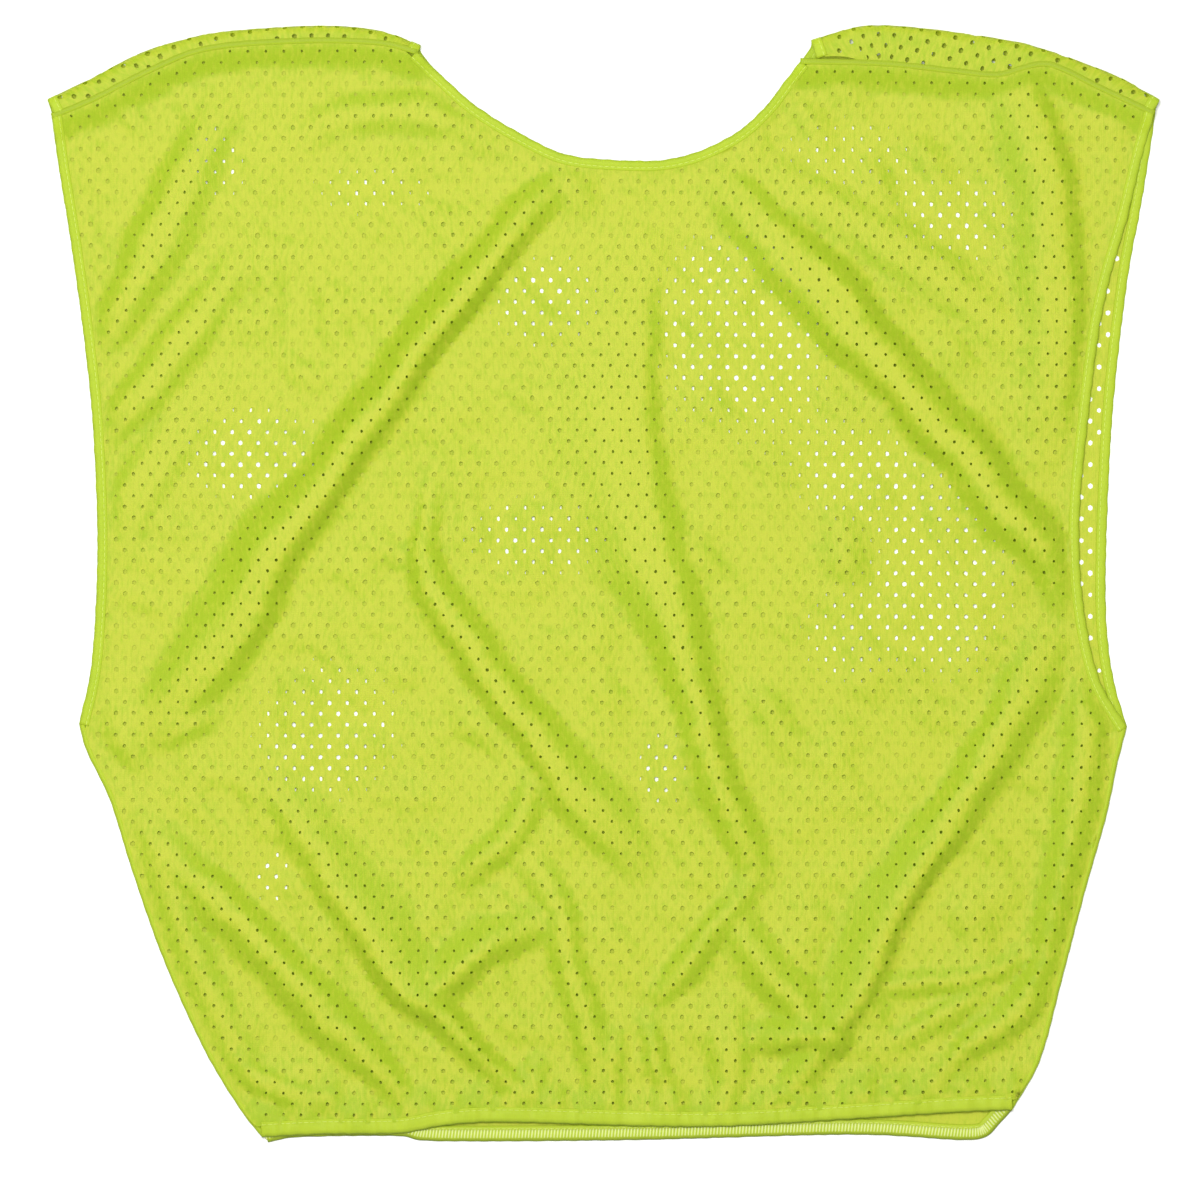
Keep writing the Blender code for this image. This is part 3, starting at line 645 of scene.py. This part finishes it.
def node(tree, kind, settings=None, output=0, **values):
    """A node of a kind, with its settings set first, then its sockets' values or links by name."""
    made = tree.nodes.new(kind)
    for key, value in (settings or {}).items():
        setattr(made, key, value)
    for key, value in values.items():
        join(tree, made.inputs[key.replace("_", " ")], value)
    return Socket(tree, made.outputs[output])


THROUGH_SHARE = 0.4


def new_material(name, roughness, specular, color=None, glow=None):
    """A material and its shader, with what is the same all over it set on the shader itself. glow is the
    colour of the light that comes through thin cloth, where it does."""
    material = bpy.data.materials.new(name)
    material.use_nodes = True
    tree = material.node_tree
    shader = tree.nodes["Principled BSDF"]
    shader.inputs["Roughness"].default_value = roughness
    shader.inputs["Specular IOR Level"].default_value = specular
    if color:
        shader.inputs["Base Color"].default_value = color
    if glow:
        through = tree.nodes.new("ShaderNodeBsdfTranslucent")
        through.inputs["Color"].default_value = glow
        both = tree.nodes.new("ShaderNodeMixShader")
        both.inputs[0].default_value = THROUGH_SHARE
        tree.links.new(shader.outputs[0], both.inputs[1])
        tree.links.new(through.outputs[0], both.inputs[2])
        tree.links.new(both.outputs[0], tree.nodes["Material Output"].inputs["Surface"])
    return material, shader


# The base colour is the cloth lying flat. The deeper colour is partly the cloth's own uneven tone and partly
# painted shade on the slopes of the folds.
MESH_BASE = (0.65, 0.70, 0.055, 1)
MESH_DEEP_TONE_AND_SHADE = (0.46, 0.62, 0.024, 1)
THROUGH = (0.66, 0.76, 0.05, 1)
# Columns and rows of yarn loops from one hole to the next
WALES = 8
COURSES = 6


def knit_place(tree):
    """The two coordinates of a point in its piece's knit."""
    knit = node(tree, "ShaderNodeUVMap", {"uv_map": "Knit"})
    parts = tree.nodes.new("ShaderNodeSeparateXYZ")
    tree.links.new(knit.output, parts.inputs[0])
    return Socket(tree, parts.outputs[0]), Socket(tree, parts.outputs[1])


def noise(tree, place, scale, detail):
    """Uneven cloudy values around 0.5."""
    return node(tree, "ShaderNodeTexNoise", Vector=place, Scale=scale, Detail=detail)


def blend(tree, share, first, second):
    """A colour between two, by a share that is kept from 0 to 1."""
    mix = tree.nodes.new("ShaderNodeMix")
    mix.data_type = "RGBA"
    mix.clamp_factor = True
    join(tree, mix.inputs[0], share)
    join(tree, mix.inputs[6], first)
    join(tree, mix.inputs[7], second)
    return Socket(tree, mix.outputs[2])


def finish_cloth(tree, shader, color, yarn, fuzz, depth):
    """Sets a cloth's colour, and the small relief of its yarn and fuzz, that many metres deep."""
    bump = node(tree, "ShaderNodeBump", Strength=0.5, Distance=depth, Height=yarn * 0.5 + fuzz * 0.8)
    join(tree, shader.inputs["Base Color"], color)
    join(tree, shader.inputs["Normal"], bump)


def mesh_cloth_material(name, base, deep):
    """Knitted mesh: columns of loops that part round the holes, a soft sheen, a little painted shade between
    the yarns, and deeper painted shade where the cloth stands aslant.
    """
    material, shader = new_material(name, 0.5, 0.22, glow=THROUGH)
    tree = material.node_tree
    u, v = knit_place(tree)
    wales = (u * (2 * np.pi * WALES)).math("SINE")
    sway = (u * (np.pi * WALES)).math("SINE") * 0.9
    courses = (v * (2 * np.pi * COURSES) + sway).math("SINE")
    yarn = wales * 0.5 + courses * 0.5
    place = node(tree, "ShaderNodeTexCoord", output=3)
    cloud = noise(tree, place, 26.0, 3.0)
    fuzz = noise(tree, place, 1900.0, 2.0)
    along_wale = node(tree, "ShaderNodeCombineXYZ", X=u * 5.8, Y=v * 1.06)
    streak = noise(tree, along_wale, 1.0, 2.0)
    slope_shade = node(tree, "ShaderNodeAttribute", {"attribute_name": "Slope_shade"}, 2)
    uneven = (cloud - 0.5) * 0.5 + (fuzz - 0.5) * 0.4 + (streak - 0.5) * 2.4
    # Painted shade: the colour goes over to the deeper one where the cloth stands aslant on the folds and the
    # shoulder roll, and a little between the yarns. The clouds, fuzz and streaks are the cloth's own uneven
    # tone.
    depth = yarn * -0.08 + uneven + slope_shade * 0.85 + 0.1
    finish_cloth(tree, shader, blend(tree, depth, base, deep), yarn, fuzz, 0.00012)
    return material


mesh_material = mesh_cloth_material("fluorescent mesh cloth", MESH_BASE, MESH_DEEP_TONE_AND_SHADE)


def place_front(x, y, up=0.0):
    """The front's points, and those up above its cloth."""
    return np.stack([x, y, front_height(x, y) + up], axis=-1)


STEEP = 0.36
LEAN_STEP = 0.5
HIGH = 4.0
TIGHTEST = 0.42


def front_lean(x, y):
    """How far the cloth stands aslant, from 0 to 1, by the slope of its height."""
    here = front_height(x, y)
    rise_x = front_height(x + LEAN_STEP, y) - here
    rise_y = front_height(x, y + LEAN_STEP) - here
    return smooth_step(np.hypot(rise_x, rise_y) / LEAN_STEP / STEEP)


def front_tightness(x, y):
    """The pull of the folds closes the holes a little where the cloth is aslant or high."""
    high = smooth_step((front_height(x, y) - FRONT_LEVEL) / HIGH)
    return 1 - TIGHTEST * np.maximum(front_lean(x, y), high)


front_cut = closed_outline(edge_curves(
    FRONT_OUTLINE, WAIST_INSET, SEAM_INSET, PANEL_INSET, FRONT_SHOULDER_INSET, PANEL_INSET
))
points, faces, knit = mesh_cloth(front_cut, front_slip, place_front, front_tightness)
# The slopes of the folds are painted deeper in colour as shade: the steeper, the deeper.
front_cloth = make_cloth("front_cloth", points, faces, knit, front_lean(points[:, 0], points[:, 1]))
front_cloth.data.materials.append(mesh_material)
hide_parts("front_panel")

# Back panel
#
# The same mesh cloth, lying flat on the floor. Over each shoulder it turns forward round a soft roll and
# runs down the front to the seam, so the seams lie a little in front of the top edge.

BACK_WAIST = (
    (-167.7, -279.2), (-151.7, -276.6), (-101.7, -276.1), (-84.2, -278.6), (13.3, -278.1),
    (123.3, -275.4), (178.3, -278.1), (191.8, -276.9),
)
RIGHT_WAIST_CORNER = (204.3, -263.1)
BACK_RIGHT_ARMHOLE = (
    (254.3, -44.1), (251.1, -8.1), (252.6, 51.9), (255.8, 99.4), (262.3, 153.9), (268.3, 186.4),
    (273.3, 216.9),
)
BACK_RIGHT_TIP = (277.0, 242.9)
BACK_RIGHT_SHOULDER = (
    (256.3, 254.4), (219.8, 267.9), (197.8, 272.9), (157.3, 278.4), (128.8, 279.2),
)
BACK_NECK_RIGHT = (108.3, 273.4)
BACK_NECK_LEFT = (-97.7, 271.9)
BACK_LEFT_SHOULDER = (
    (-111.2, 276.8), (-142.2, 279.4), (-190.2, 276.4), (-214.2, 271.4), (-233.2, 264.9), (-254.7, 253.9),
)
BACK_LEFT_TIP = (-277.0, 242.9)
BACK_OUTLINE = Outline(
    waist=BACK_WAIST,
    right_side=(BACK_WAIST[-1], RIGHT_WAIST_CORNER, *RIGHT_SIDE, RIGHT_UNDERARM),
    right_armhole=(RIGHT_UNDERARM, *BACK_RIGHT_ARMHOLE, BACK_RIGHT_TIP),
    right_shoulder=(BACK_RIGHT_TIP, *BACK_RIGHT_SHOULDER, BACK_NECK_RIGHT),
    neck=(BACK_NECK_RIGHT, *NECK, BACK_NECK_LEFT),
    left_shoulder=(BACK_NECK_LEFT, *BACK_LEFT_SHOULDER, BACK_LEFT_TIP),
    left_armhole=(BACK_LEFT_TIP, *LEFT_ARMHOLE, LEFT_UNDERARM),
    left_side=(LEFT_UNDERARM, *LEFT_SIDE, BACK_WAIST[0]),
)
SHOULDER_INSET = 3.6
TURN_LENGTH = np.pi * SHOULDER_TURN
UNDER_SEAM = 1.0
LEAST_RUN = 0.5

back_edge = edge_curves(BACK_OUTLINE, shoulder=SHOULDER_INSET)
back_inner = edge_curves(
    BACK_OUTLINE, WAIST_INSET, SEAM_INSET, PANEL_INSET, SHOULDER_INSET, PANEL_INSET
)


def outward_of(line):
    """Unit vectors to the right of a line's heading, which is outwards on an anticlockwise edge."""
    heading = np.gradient(line, axis=0)
    outward = np.stack([heading[:, 1], -heading[:, 0]], axis=-1)
    return outward / np.linalg.norm(outward, axis=1)[:, None]


def unrolled_shoulder(roll, seam):
    """The end of a shoulder's flap laid out flat: as far beyond the roll as the turn and its run are long."""
    outward = outward_of(roll)
    run = np.maximum(((roll - seam) * outward).sum(axis=1), LEAST_RUN) + UNDER_SEAM
    return roll + outward * (TURN_LENGTH + run)[:, None]


ROLL_REACH = 30
ROLL_REACH_DOWN = 12


def place_back(x, y, up=0.0):
    """The back's points: flat, and beyond a roll line carried round the turn and back over the front. up
    is towards the inside of the garment, so it shortens the radius of the turn."""
    flat = np.stack([x, y], axis=-1).reshape(-1, 2)
    up = np.broadcast_to(up, x.shape).reshape(-1)
    place = np.concatenate([flat, (BACK_LEVEL + up)[:, None]], axis=1)
    for roll in (back_edge.right_shoulder, back_edge.left_shoulder):
        outward = outward_of(roll)
        near = (flat[:, 0] > roll[:, 0].min() - ROLL_REACH) & (flat[:, 0] < roll[:, 0].max() + ROLL_REACH)
        near &= flat[:, 1] > roll[:, 1].min() - ROLL_REACH_DOWN
        off = flat[near][:, None] - roll[None]
        nearest = np.hypot(off[..., 0], off[..., 1]).argmin(axis=1)
        off = off[np.arange(len(off)), nearest]
        out = outward[nearest]
        beyond = (off * out).sum(axis=1)
        sideways = off - beyond[:, None] * out
        turned = np.clip(beyond, 0, TURN_LENGTH) / SHOULDER_TURN
        radius = SHOULDER_TURN - up[near]
        reach = radius * np.sin(turned) - np.maximum(beyond - TURN_LENGTH, 0)
        lifted = roll[nearest] + sideways + out * reach[:, None]
        level = BACK_LEVEL + SHOULDER_TURN - radius * np.cos(turned)
        moved = np.concatenate([lifted, level[:, None]], axis=1)
        part = place[near]
        part[beyond > 0] = moved[beyond > 0]
        place[near] = part
    return place.reshape(*x.shape, 3)


def no_slip(x, y):
    """The back's knit lies as it was made."""
    return np.zeros((*x.shape, 2))


FLAP_INSET = 1.2
NO_HOLES_BELOW = -258
flap_edge = edge_curves(BACK_OUTLINE, armhole=FLAP_INSET, shoulder=SHOULDER_INSET, neck=FLAP_INSET)
back_cut = closed_outline(back_inner._replace(
    right_shoulder=unrolled_shoulder(flap_edge.right_shoulder, front_edge.right_shoulder),
    left_shoulder=unrolled_shoulder(flap_edge.left_shoulder, front_edge.left_shoulder),
))
points, faces, knit = mesh_cloth(back_cut, no_slip, place_back, closed_below=NO_HOLES_BELOW)
# Painted shade on the back's shoulder roll: half as deep as on the steepest folds, from the middle of the
# roll on over the flap.
turned = smooth_step((points[:, 2] - BACK_LEVEL) / SHOULDER_TURN)
back_cloth = make_cloth("back_cloth", points, faces, knit, 0.5 * turned)
back_cloth.data.materials.append(mesh_material)
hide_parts("back_panel")

# Turned edges of the neck and the armholes
#
# The cloth of each panel is turned in 5 mm and sewn down 3.6 mm from the edge, so the edge is a soft flat
# roll of two layers that puckers a little between the stitches. It has no holes that go through.

EDGE_STEP = 1.5
LINE_SMOOTHINGS = 4
EDGE_SHADE_REACH = 0.9
# Width scale of the painted shade along the folded outer edge of the bands.
TURNED_SECTION = (
    (5.1, 0.02), (5.0, 0.36), (4.4, 0.42), (3.6, 0.28), (2.9, 0.46), (1.9, 0.52), (0.9, 0.44),
    (0.2, 0.16), (0.0, -0.20), (0.3, -0.55), (1.2, -0.70), (3.2, -0.70), (4.8, -0.66), (5.1, -0.4),
)
INNER_TURNED_SECTION = (
    (5.1, 0.1), (5.1, -0.26), (4.4, -0.30), (3.6, -0.30), (2.2, -0.31), (1.0, -0.30), (0.3, -0.2),
    (0.0, 0.2), (0.2, 0.58), (1.0, 0.82), (2.2, 0.86), (3.0, 0.76), (3.6, 0.62), (4.4, 0.78), (5.0, 0.7),
)


def steps_along(line, step):
    """The line again, as points at equal steps of about the size given, and the way inwards from each."""
    length = distances_along(line)[-1]
    cells = max(1, round(length / step))
    line = equal_steps(line, cells)
    for _ in range(LINE_SMOOTHINGS):
        line[1:-1] = (line[:-2] + 2 * line[1:-1] + line[2:]) / 4
    return line, -outward_of(line), np.linspace(0, length, cells + 1)


def pucker(along, seed):
    """Uneven small waves along a sewn edge, between -1 and 1: three sines of near wavelengths."""
    turns = np.random.default_rng(seed).uniform(0, 2 * np.pi, 4)
    waves = np.sin(along / 1.35 + turns[0] + 1.4 * np.sin(along / 9 + turns[1]))
    return 0.6 * waves + 0.4 * np.sin(along / 2.9 + turns[2]) * np.sin(along / 23 + turns[3])


def band(line, section, place, swell, wander, seed):
    """A closed section carried along a line, as points, faces and places along and across in millimetres.

    swell raises and lowers the section's top and bottom, and wander its outer edge, by the puckers."""
    line, inward, along = steps_along(line, EDGE_STEP)
    section = np.array(section)
    wave = pucker(along, seed)[:, None]
    middle = section[:, 1].mean()
    edge_share = smooth_step(1 - section[:, 0] / section[:, 0].max())
    depth = section[None, :, 0] + wander * np.roll(wave, 3) * edge_share[None]
    up = middle + (section[None, :, 1] - middle) * (1 + swell * wave)
    flat = line[:, None] + inward[:, None] * depth[..., None]
    points = place(flat[..., 0], flat[..., 1], up).reshape(-1, 3)
    across = len(section)
    start = np.arange(len(line) - 1)[:, None] * across + np.arange(across)
    side = np.arange(len(line) - 1)[:, None] * across + np.roll(np.arange(across), -1)
    faces = np.stack([start, side, side + across, start + across], axis=-1).reshape(-1, 4).tolist()
    faces += [list(range(across))[::-1], list(range(len(points) - across, len(points)))]
    uv = np.stack(np.broadcast_arrays(along[:, None], distances_along(section)[None]), axis=-1)
    uv = uv.reshape(-1, 2)
    # Painted shade along the folded outer edge: full within 0.45 mm of it, gone by 1.35 mm.
    rim = np.broadcast_to(smooth_step(1.5 - section[:, 0] / EDGE_SHADE_REACH), depth.shape).reshape(-1)
    return points, faces, uv, rim


# The base and deep colours are the cloth's own uneven tone, and the deep one is also a little painted shade
# in the grooves between the ribs. The dark olive is painted shade along the folded outer edge.
EDGE_BASE = (0.60, 0.74, 0.04, 1)
EDGE_DEEP = (0.50, 0.68, 0.03, 1)
EDGE_SHADE_COLOR = (0.17, 0.23, 0.02, 1)
RIB_WIDTH = 0.9
RIB_SWAY = 1.1


def turned_edge_material(name, base, deep, edge_shade_share):
    """Closely knitted cloth of the turned edges: fine ribs across the edge with painted shade in the grooves
    between them, a soft uneven tone, and a dark painted shade along the folded outer edge, as strong as the
    share given."""
    material, shader = new_material(name, 0.5, 0.25, glow=THROUGH)
    tree = material.node_tree
    u, v = knit_place(tree)
    sway = (v * (2 * np.pi / RIB_SWAY)).math("SINE")
    ribs = (u * (2 * np.pi / RIB_WIDTH) + sway).math("SINE")
    place = node(tree, "ShaderNodeTexCoord", output=3)
    cloud = noise(tree, place, 90.0, 3.0)
    fuzz = noise(tree, place, 1500.0, 2.0)
    # Painted shade: the colour is a little deeper in the grooves between the ribs. The clouds and fuzz are
    # the cloth's own uneven tone.
    depth = ribs * -0.1 + (cloud - 0.5) * 1.2 + (fuzz - 0.5) * 0.6 + 0.45
    # Painted shade along the folded outer edge, mixed in by each point's share.
    rim = node(tree, "ShaderNodeAttribute", {"attribute_name": "Edge_shade"}, 2)
    color = blend(tree, rim * edge_shade_share, blend(tree, depth, base, deep), EDGE_SHADE_COLOR)
    finish_cloth(tree, shader, color, ribs, fuzz, 0.0001)
    return material


# The turned edges and seams take a light painted shade along their outer edge.
edge_material = turned_edge_material("turned edge cloth", EDGE_BASE, EDGE_DEEP, 0.3)


def add_band(name, slot, material, line, section, place, swell, wander, seed):
    """A band's piece. One with a slot takes the place of the solid of its name."""
    points, faces, uv, rim = band(line, section, place, swell, wander, seed)
    piece = make_piece(name, points, faces, uv)
    # Each point's share of the painted shade along the outer edge, for the material.
    add_values(piece, "Edge_shade", rim)
    piece.data.materials.append(material)
    if slot:
        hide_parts(name)
    return piece


JOIN_STEPS = 12


def carried_on(line, at_start, at_end):
    """A line carried on straight to a point at its start, at its end or at both, still laid out flat."""
    rows = [line]
    if at_start is not None:
        rows.insert(0, np.linspace(at_start, line[0], JOIN_STEPS, endpoint=False))
    if at_end is not None:
        rows.append(np.linspace(line[-1], at_end, JOIN_STEPS)[1:])
    return np.vstack(rows)


right_flap = unrolled_shoulder(back_edge.right_shoulder, front_edge.right_shoulder)
left_flap = unrolled_shoulder(back_edge.left_shoulder, front_edge.left_shoulder)

front_edges = [
    add_band(name, "turned_edge", edge_material, line, TURNED_SECTION, place_front, 0.16, 0.25, seed)
    for seed, (name, line) in enumerate([
        ("neck_edge_front", front_edge.neck),
        ("right_armhole_edge_front", front_edge.right_armhole),
        ("left_armhole_edge_front", front_edge.left_armhole),
    ])
]
back_lines = {
    "neck_edge_back": carried_on(back_edge.neck, right_flap[-1], left_flap[0]),
    "right_armhole_edge_back": carried_on(back_edge.right_armhole, None, right_flap[0]),
    "left_armhole_edge_back": carried_on(back_edge.left_armhole, left_flap[-1], None),
}
back_edges = [
    add_band(name, "turned_edge", edge_material, line, INNER_TURNED_SECTION, place_back, 0.0, 0.2, seed)
    for seed, (name, line) in enumerate(back_lines.items(), start=10)
]

# Waist hems
#
# The lower edge of each panel is turned up over a narrow elastic and sewn along its top, so the hem is a
# thicker band, drawn into small upright puckers. The inside of the back's hem, overlocked, shows below
# the front's.

WAIST_SECTION = (
    (7.8, 0.0), (7.5, 0.42), (6.8, 0.52), (6.2, 0.34), (5.2, 0.66), (3.8, 0.78), (2.4, 0.72),
    (1.0, 0.50), (0.2, 0.10), (0.0, -0.30), (0.3, -0.70), (1.4, -0.98), (4.0, -1.0), (6.6, -0.98),
    (7.6, -0.7),
)
INNER_WAIST_SECTION = (
    (7.8, 0.1), (7.6, -0.26), (6.4, -0.30), (4.4, -0.31), (2.0, -0.31), (0.6, -0.28), (0.0, 0.1),
    (0.1, 0.7), (0.8, 1.05), (2.0, 1.15), (3.4, 1.2), (5.0, 1.15), (6.2, 0.9), (7.2, 1.0), (7.7, 0.6),
)
HEM_BASE = (0.62, 0.75, 0.05, 1)
HEM_DEEP = (0.52, 0.68, 0.035, 1)
# The hems take a strong painted shade along their folded lower edge.
hem_material = turned_edge_material("waist hem cloth", HEM_BASE, HEM_DEEP, 0.9)

front_hem = add_band(
    "waist_hem_front", "waist_hem", hem_material, front_edge.waist, WAIST_SECTION, place_front, 0.3, 0.15, 21
)
back_hem_line = carried_on(back_edge.waist, None, RIGHT_WAIST_CORNER)
back_hem = add_band(
    "waist_hem_back", "waist_hem", hem_material, back_hem_line, INNER_WAIST_SECTION, place_back, 0.0, 0.12, 22
)

# Side seams
#
# Front and back are sewn together down each side with the seam turned inside, so the side is one soft
# roll of their own cloth that rests on the floor.

SIDE_SECTION = (
    (3.0, 1.2), (2.6, 2.0), (1.7, 2.32), (0.7, 2.1), (0.1, 1.6), (0.0, 1.0), (0.2, 0.45), (0.9, 0.1),
    (2.0, 0.06), (2.8, 0.3),
)


def place_level(x, y, up):
    """Points at a height over the floor."""
    return np.stack([x, y, up], axis=-1)


side_seams = [
    add_band(name, None, edge_material, line, SIDE_SECTION, place_level, 0.06, 0.12, seed)
    for seed, (name, line) in enumerate([
        ("right_side_seam", front_edge.right_side),
        ("left_side_seam", front_edge.left_side),
    ], start=30)
]

# Shoulder seams
#
# The back's flap and the front's top edge are sewn together with the seam turned inside, which leaves a
# low ridge along the seam.

SHOULDER_SECTION = (
    (1.5, -0.1), (1.3, 0.3), (0.5, 0.52), (-0.4, 0.5), (-1.2, 0.3), (-1.5, -0.1), (-1.0, -0.5), (1.0, -0.5),
)


def place_seam(x, y, up):
    """Points about the level of the shoulder seams."""
    return np.stack([x, y, SHOULDER_LEVEL + up], axis=-1)


shoulder_seams = [
    add_band(name, None, edge_material, line, SHOULDER_SECTION, place_seam, 0.1, 0.1, seed)
    for seed, (name, line) in enumerate([
        ("right_shoulder_seam", front_edge.right_shoulder),
        ("left_shoulder_seam", front_edge.left_shoulder),
    ], start=40)
]

# Stitching
#
# Polyester thread, a shade lighter than the cloth: a row of lock stitches 3 mm long holds each turned
# edge and hem.

STITCH = 3.0
STITCH_FILL = 0.86
STITCH_DEPTH = 3.6
WAIST_STITCH_DEPTH = 6.3
THREAD = 0.17
STITCH_BODY = np.array([
    (-0.5, 0.0), (-0.36, 0.8), (0.0, 1.0), (0.36, 0.8), (0.5, 0.0),
])
THREAD_COLOR = (0.66, 0.78, 0.12, 1)
thread_material, _ = new_material("polyester thread", 0.4, 0.6, THREAD_COLOR)


def spindles(middle, stride, side, height, up, place):
    """Threads as spindles of four sides, pointed at both ends: each with its middle, its stride from end to
    end, its half width as a vector, and its half height."""
    turn = np.array([(1, 0), (0, 1), (-1, 0), (0, -1)])
    flat = (
        middle[:, None, None]
        + stride[:, None, None] * STITCH_BODY[:, 0][None, :, None, None]
        + side[:, None, None] * (STITCH_BODY[:, 1, None] * turn[:, 0])[None, :, :, None]
    )
    lift = np.broadcast_to(up + height * STITCH_BODY[:, 1, None] * turn[:, 1], flat.shape[:-1])
    points = place(flat[..., 0], flat[..., 1], lift).reshape(-1, 3)
    rings = len(STITCH_BODY)
    ring = np.arange(rings - 1)[:, None] * 4 + np.arange(4)
    side_of = np.arange(rings - 1)[:, None] * 4 + np.roll(np.arange(4), -1)
    quad = np.stack([ring, side_of, side_of + 4, ring + 4], axis=-1).reshape(-1, 4)
    faces = quad[None] + (np.arange(len(middle)) * rings * 4)[:, None, None]
    return points, faces.reshape(-1, 4)


def stitches(line, depth, up, place):
    """A row of stitches along the line."""
    line, inward, _ = steps_along(line, STITCH)
    line = line + inward * depth
    middle = (line[:-1] + line[1:]) / 2
    stride = line[1:] - line[:-1]
    side = (inward[:-1] + inward[1:]) / 2
    return spindles(middle, stride * STITCH_FILL, side * THREAD, THREAD, up, place)


def add_stitches(name, rows):
    """One piece for the rows of stitches given."""
    points, faces, count = [], [], 0
    for row in rows:
        row_points, row_faces = stitches(*row)
        points.append(row_points)
        faces.append(row_faces + count)
        count += len(row_points)
    piece = make_piece(name, np.vstack(points), np.vstack(faces).tolist())
    piece.data.materials.append(thread_material)
    return piece


front_stitches = add_stitches("front_stitches", [
    (front_edge.neck, STITCH_DEPTH, 0.36, place_front),
    (front_edge.right_armhole, STITCH_DEPTH, 0.36, place_front),
    (front_edge.left_armhole, STITCH_DEPTH, 0.36, place_front),
    (front_edge.waist, WAIST_STITCH_DEPTH, 0.46, place_front),
])
back_stitches = add_stitches("back_stitches", [
    *((line, STITCH_DEPTH, -0.25, place_back) for line in back_lines.values()),
    *((line, STITCH_DEPTH, 0.68, place_back) for line in back_lines.values()),
    *((back_edge.waist, WAIST_STITCH_DEPTH, up, place_back) for up in (-0.25, 0.98)),
])

OVERLOCK_STEP = 1.6
OVERLOCK_WIDTH = 0.78
OVERLOCK_HEIGHT = 0.26
OVERLOCK_SLANT = 0.5
OVERLOCK_COLOR = (0.58, 0.66, 0.20, 1)
overlock_material, _ = new_material("overlock thread", 0.5, 0.5, OVERLOCK_COLOR)


def overlock(line, near_edge, far_edge, up, place):
    """The threads of an overlocked edge, laid side by side across the edge, a little aslant."""
    line, inward, _ = steps_along(line, OVERLOCK_STEP)
    middle = line + inward * (near_edge + far_edge) / 2
    heading = np.stack([inward[:, 1], -inward[:, 0]], axis=-1)
    stride = inward * (far_edge - near_edge) + heading * OVERLOCK_SLANT
    return spindles(middle, stride, heading * OVERLOCK_WIDTH, OVERLOCK_HEIGHT, up, place)


points, faces = overlock(back_hem_line, 1.4, 6.0, 1.08, place_back)
back_overlock = make_piece("back_hem_overlock", points, faces.tolist())
back_overlock.data.materials.append(overlock_material)

# Flat sizes of the panels
#
# The front lies on the back and the back on the floor. The flat size of each panel is the area of its cut,
# and the front's cloth is taken 4% larger for its folds; both areas are worked out here and not kept.

FOLDS_AREA = 1.04


def shoelace(outline):
    """Area inside a closed outline."""
    x, y = outline[:, 0], outline[:, 1]
    return abs((x * np.roll(y, -1) - y * np.roll(x, -1)).sum()) / 2


shoelace(front_cut) * MM * MM * FOLDS_AREA
shoelace(back_cut) * MM * MM

# Floor, light and camera
#
# A pale matt floor, a wide soft light overhead and even light all round. The camera looks straight down
# from 4 m, so near and far parts come out at almost one scale.

FLOOR_REACH = 6
FLOOR_COLOR = (0.93, 0.93, 0.93, 1)

floor_mesh = bpy.data.meshes.new("floor")
floor_corners = [(x * FLOOR_REACH, y * FLOOR_REACH, 0) for x, y in ((-1, -1), (1, -1), (1, 1), (-1, 1))]
floor_mesh.from_pydata(floor_corners, [], [(0, 1, 2, 3)])
floor_mesh.materials.append(new_material("pale floor", 0.9, 0.1, FLOOR_COLOR)[0])
floor = bpy.data.objects.new("floor", floor_mesh)
bpy.context.scene.collection.objects.link(floor)

LIGHT_PLACE = (-0.25, 0.35, 2.2)
LIGHT_TILT = (-0.157, -0.113, 0)
LIGHT_SIZE = 1.0
LIGHT_POWER = 47
WORLD_STRENGTH = 0.62

overhead = bpy.data.lights.new("overhead", "AREA")
overhead.shape = "DISK"
overhead.size = LIGHT_SIZE
overhead.energy = LIGHT_POWER
overhead_light = bpy.data.objects.new("overhead", overhead)
overhead_light.location = LIGHT_PLACE
overhead_light.rotation_euler = LIGHT_TILT
overhead_light.visible_camera = False
bpy.context.scene.collection.objects.link(overhead_light)

world = bpy.data.worlds.new("even light")
world.use_nodes = True
background = world.node_tree.nodes["Background"]
background.inputs["Color"].default_value = (1, 1, 1, 1)
background.inputs["Strength"].default_value = WORLD_STRENGTH
bpy.context.scene.world = world
bpy.context.scene.view_settings.view_transform = "Standard"

SENSOR = 36.0
FRAME_WIDTH = 0.600
CAMERA_HEIGHT = 4.0
FRAME_CENTRE = (-0.0017, -0.0081)

camera = bpy.data.cameras.new("camera")
camera.sensor_width = SENSOR
camera.lens = SENSOR * CAMERA_HEIGHT / FRAME_WIDTH
camera_object = bpy.data.objects.new("camera", camera)
camera_object.location = (*FRAME_CENTRE, CAMERA_HEIGHT)
bpy.context.scene.collection.objects.link(camera_object)
bpy.context.scene.camera = camera_object
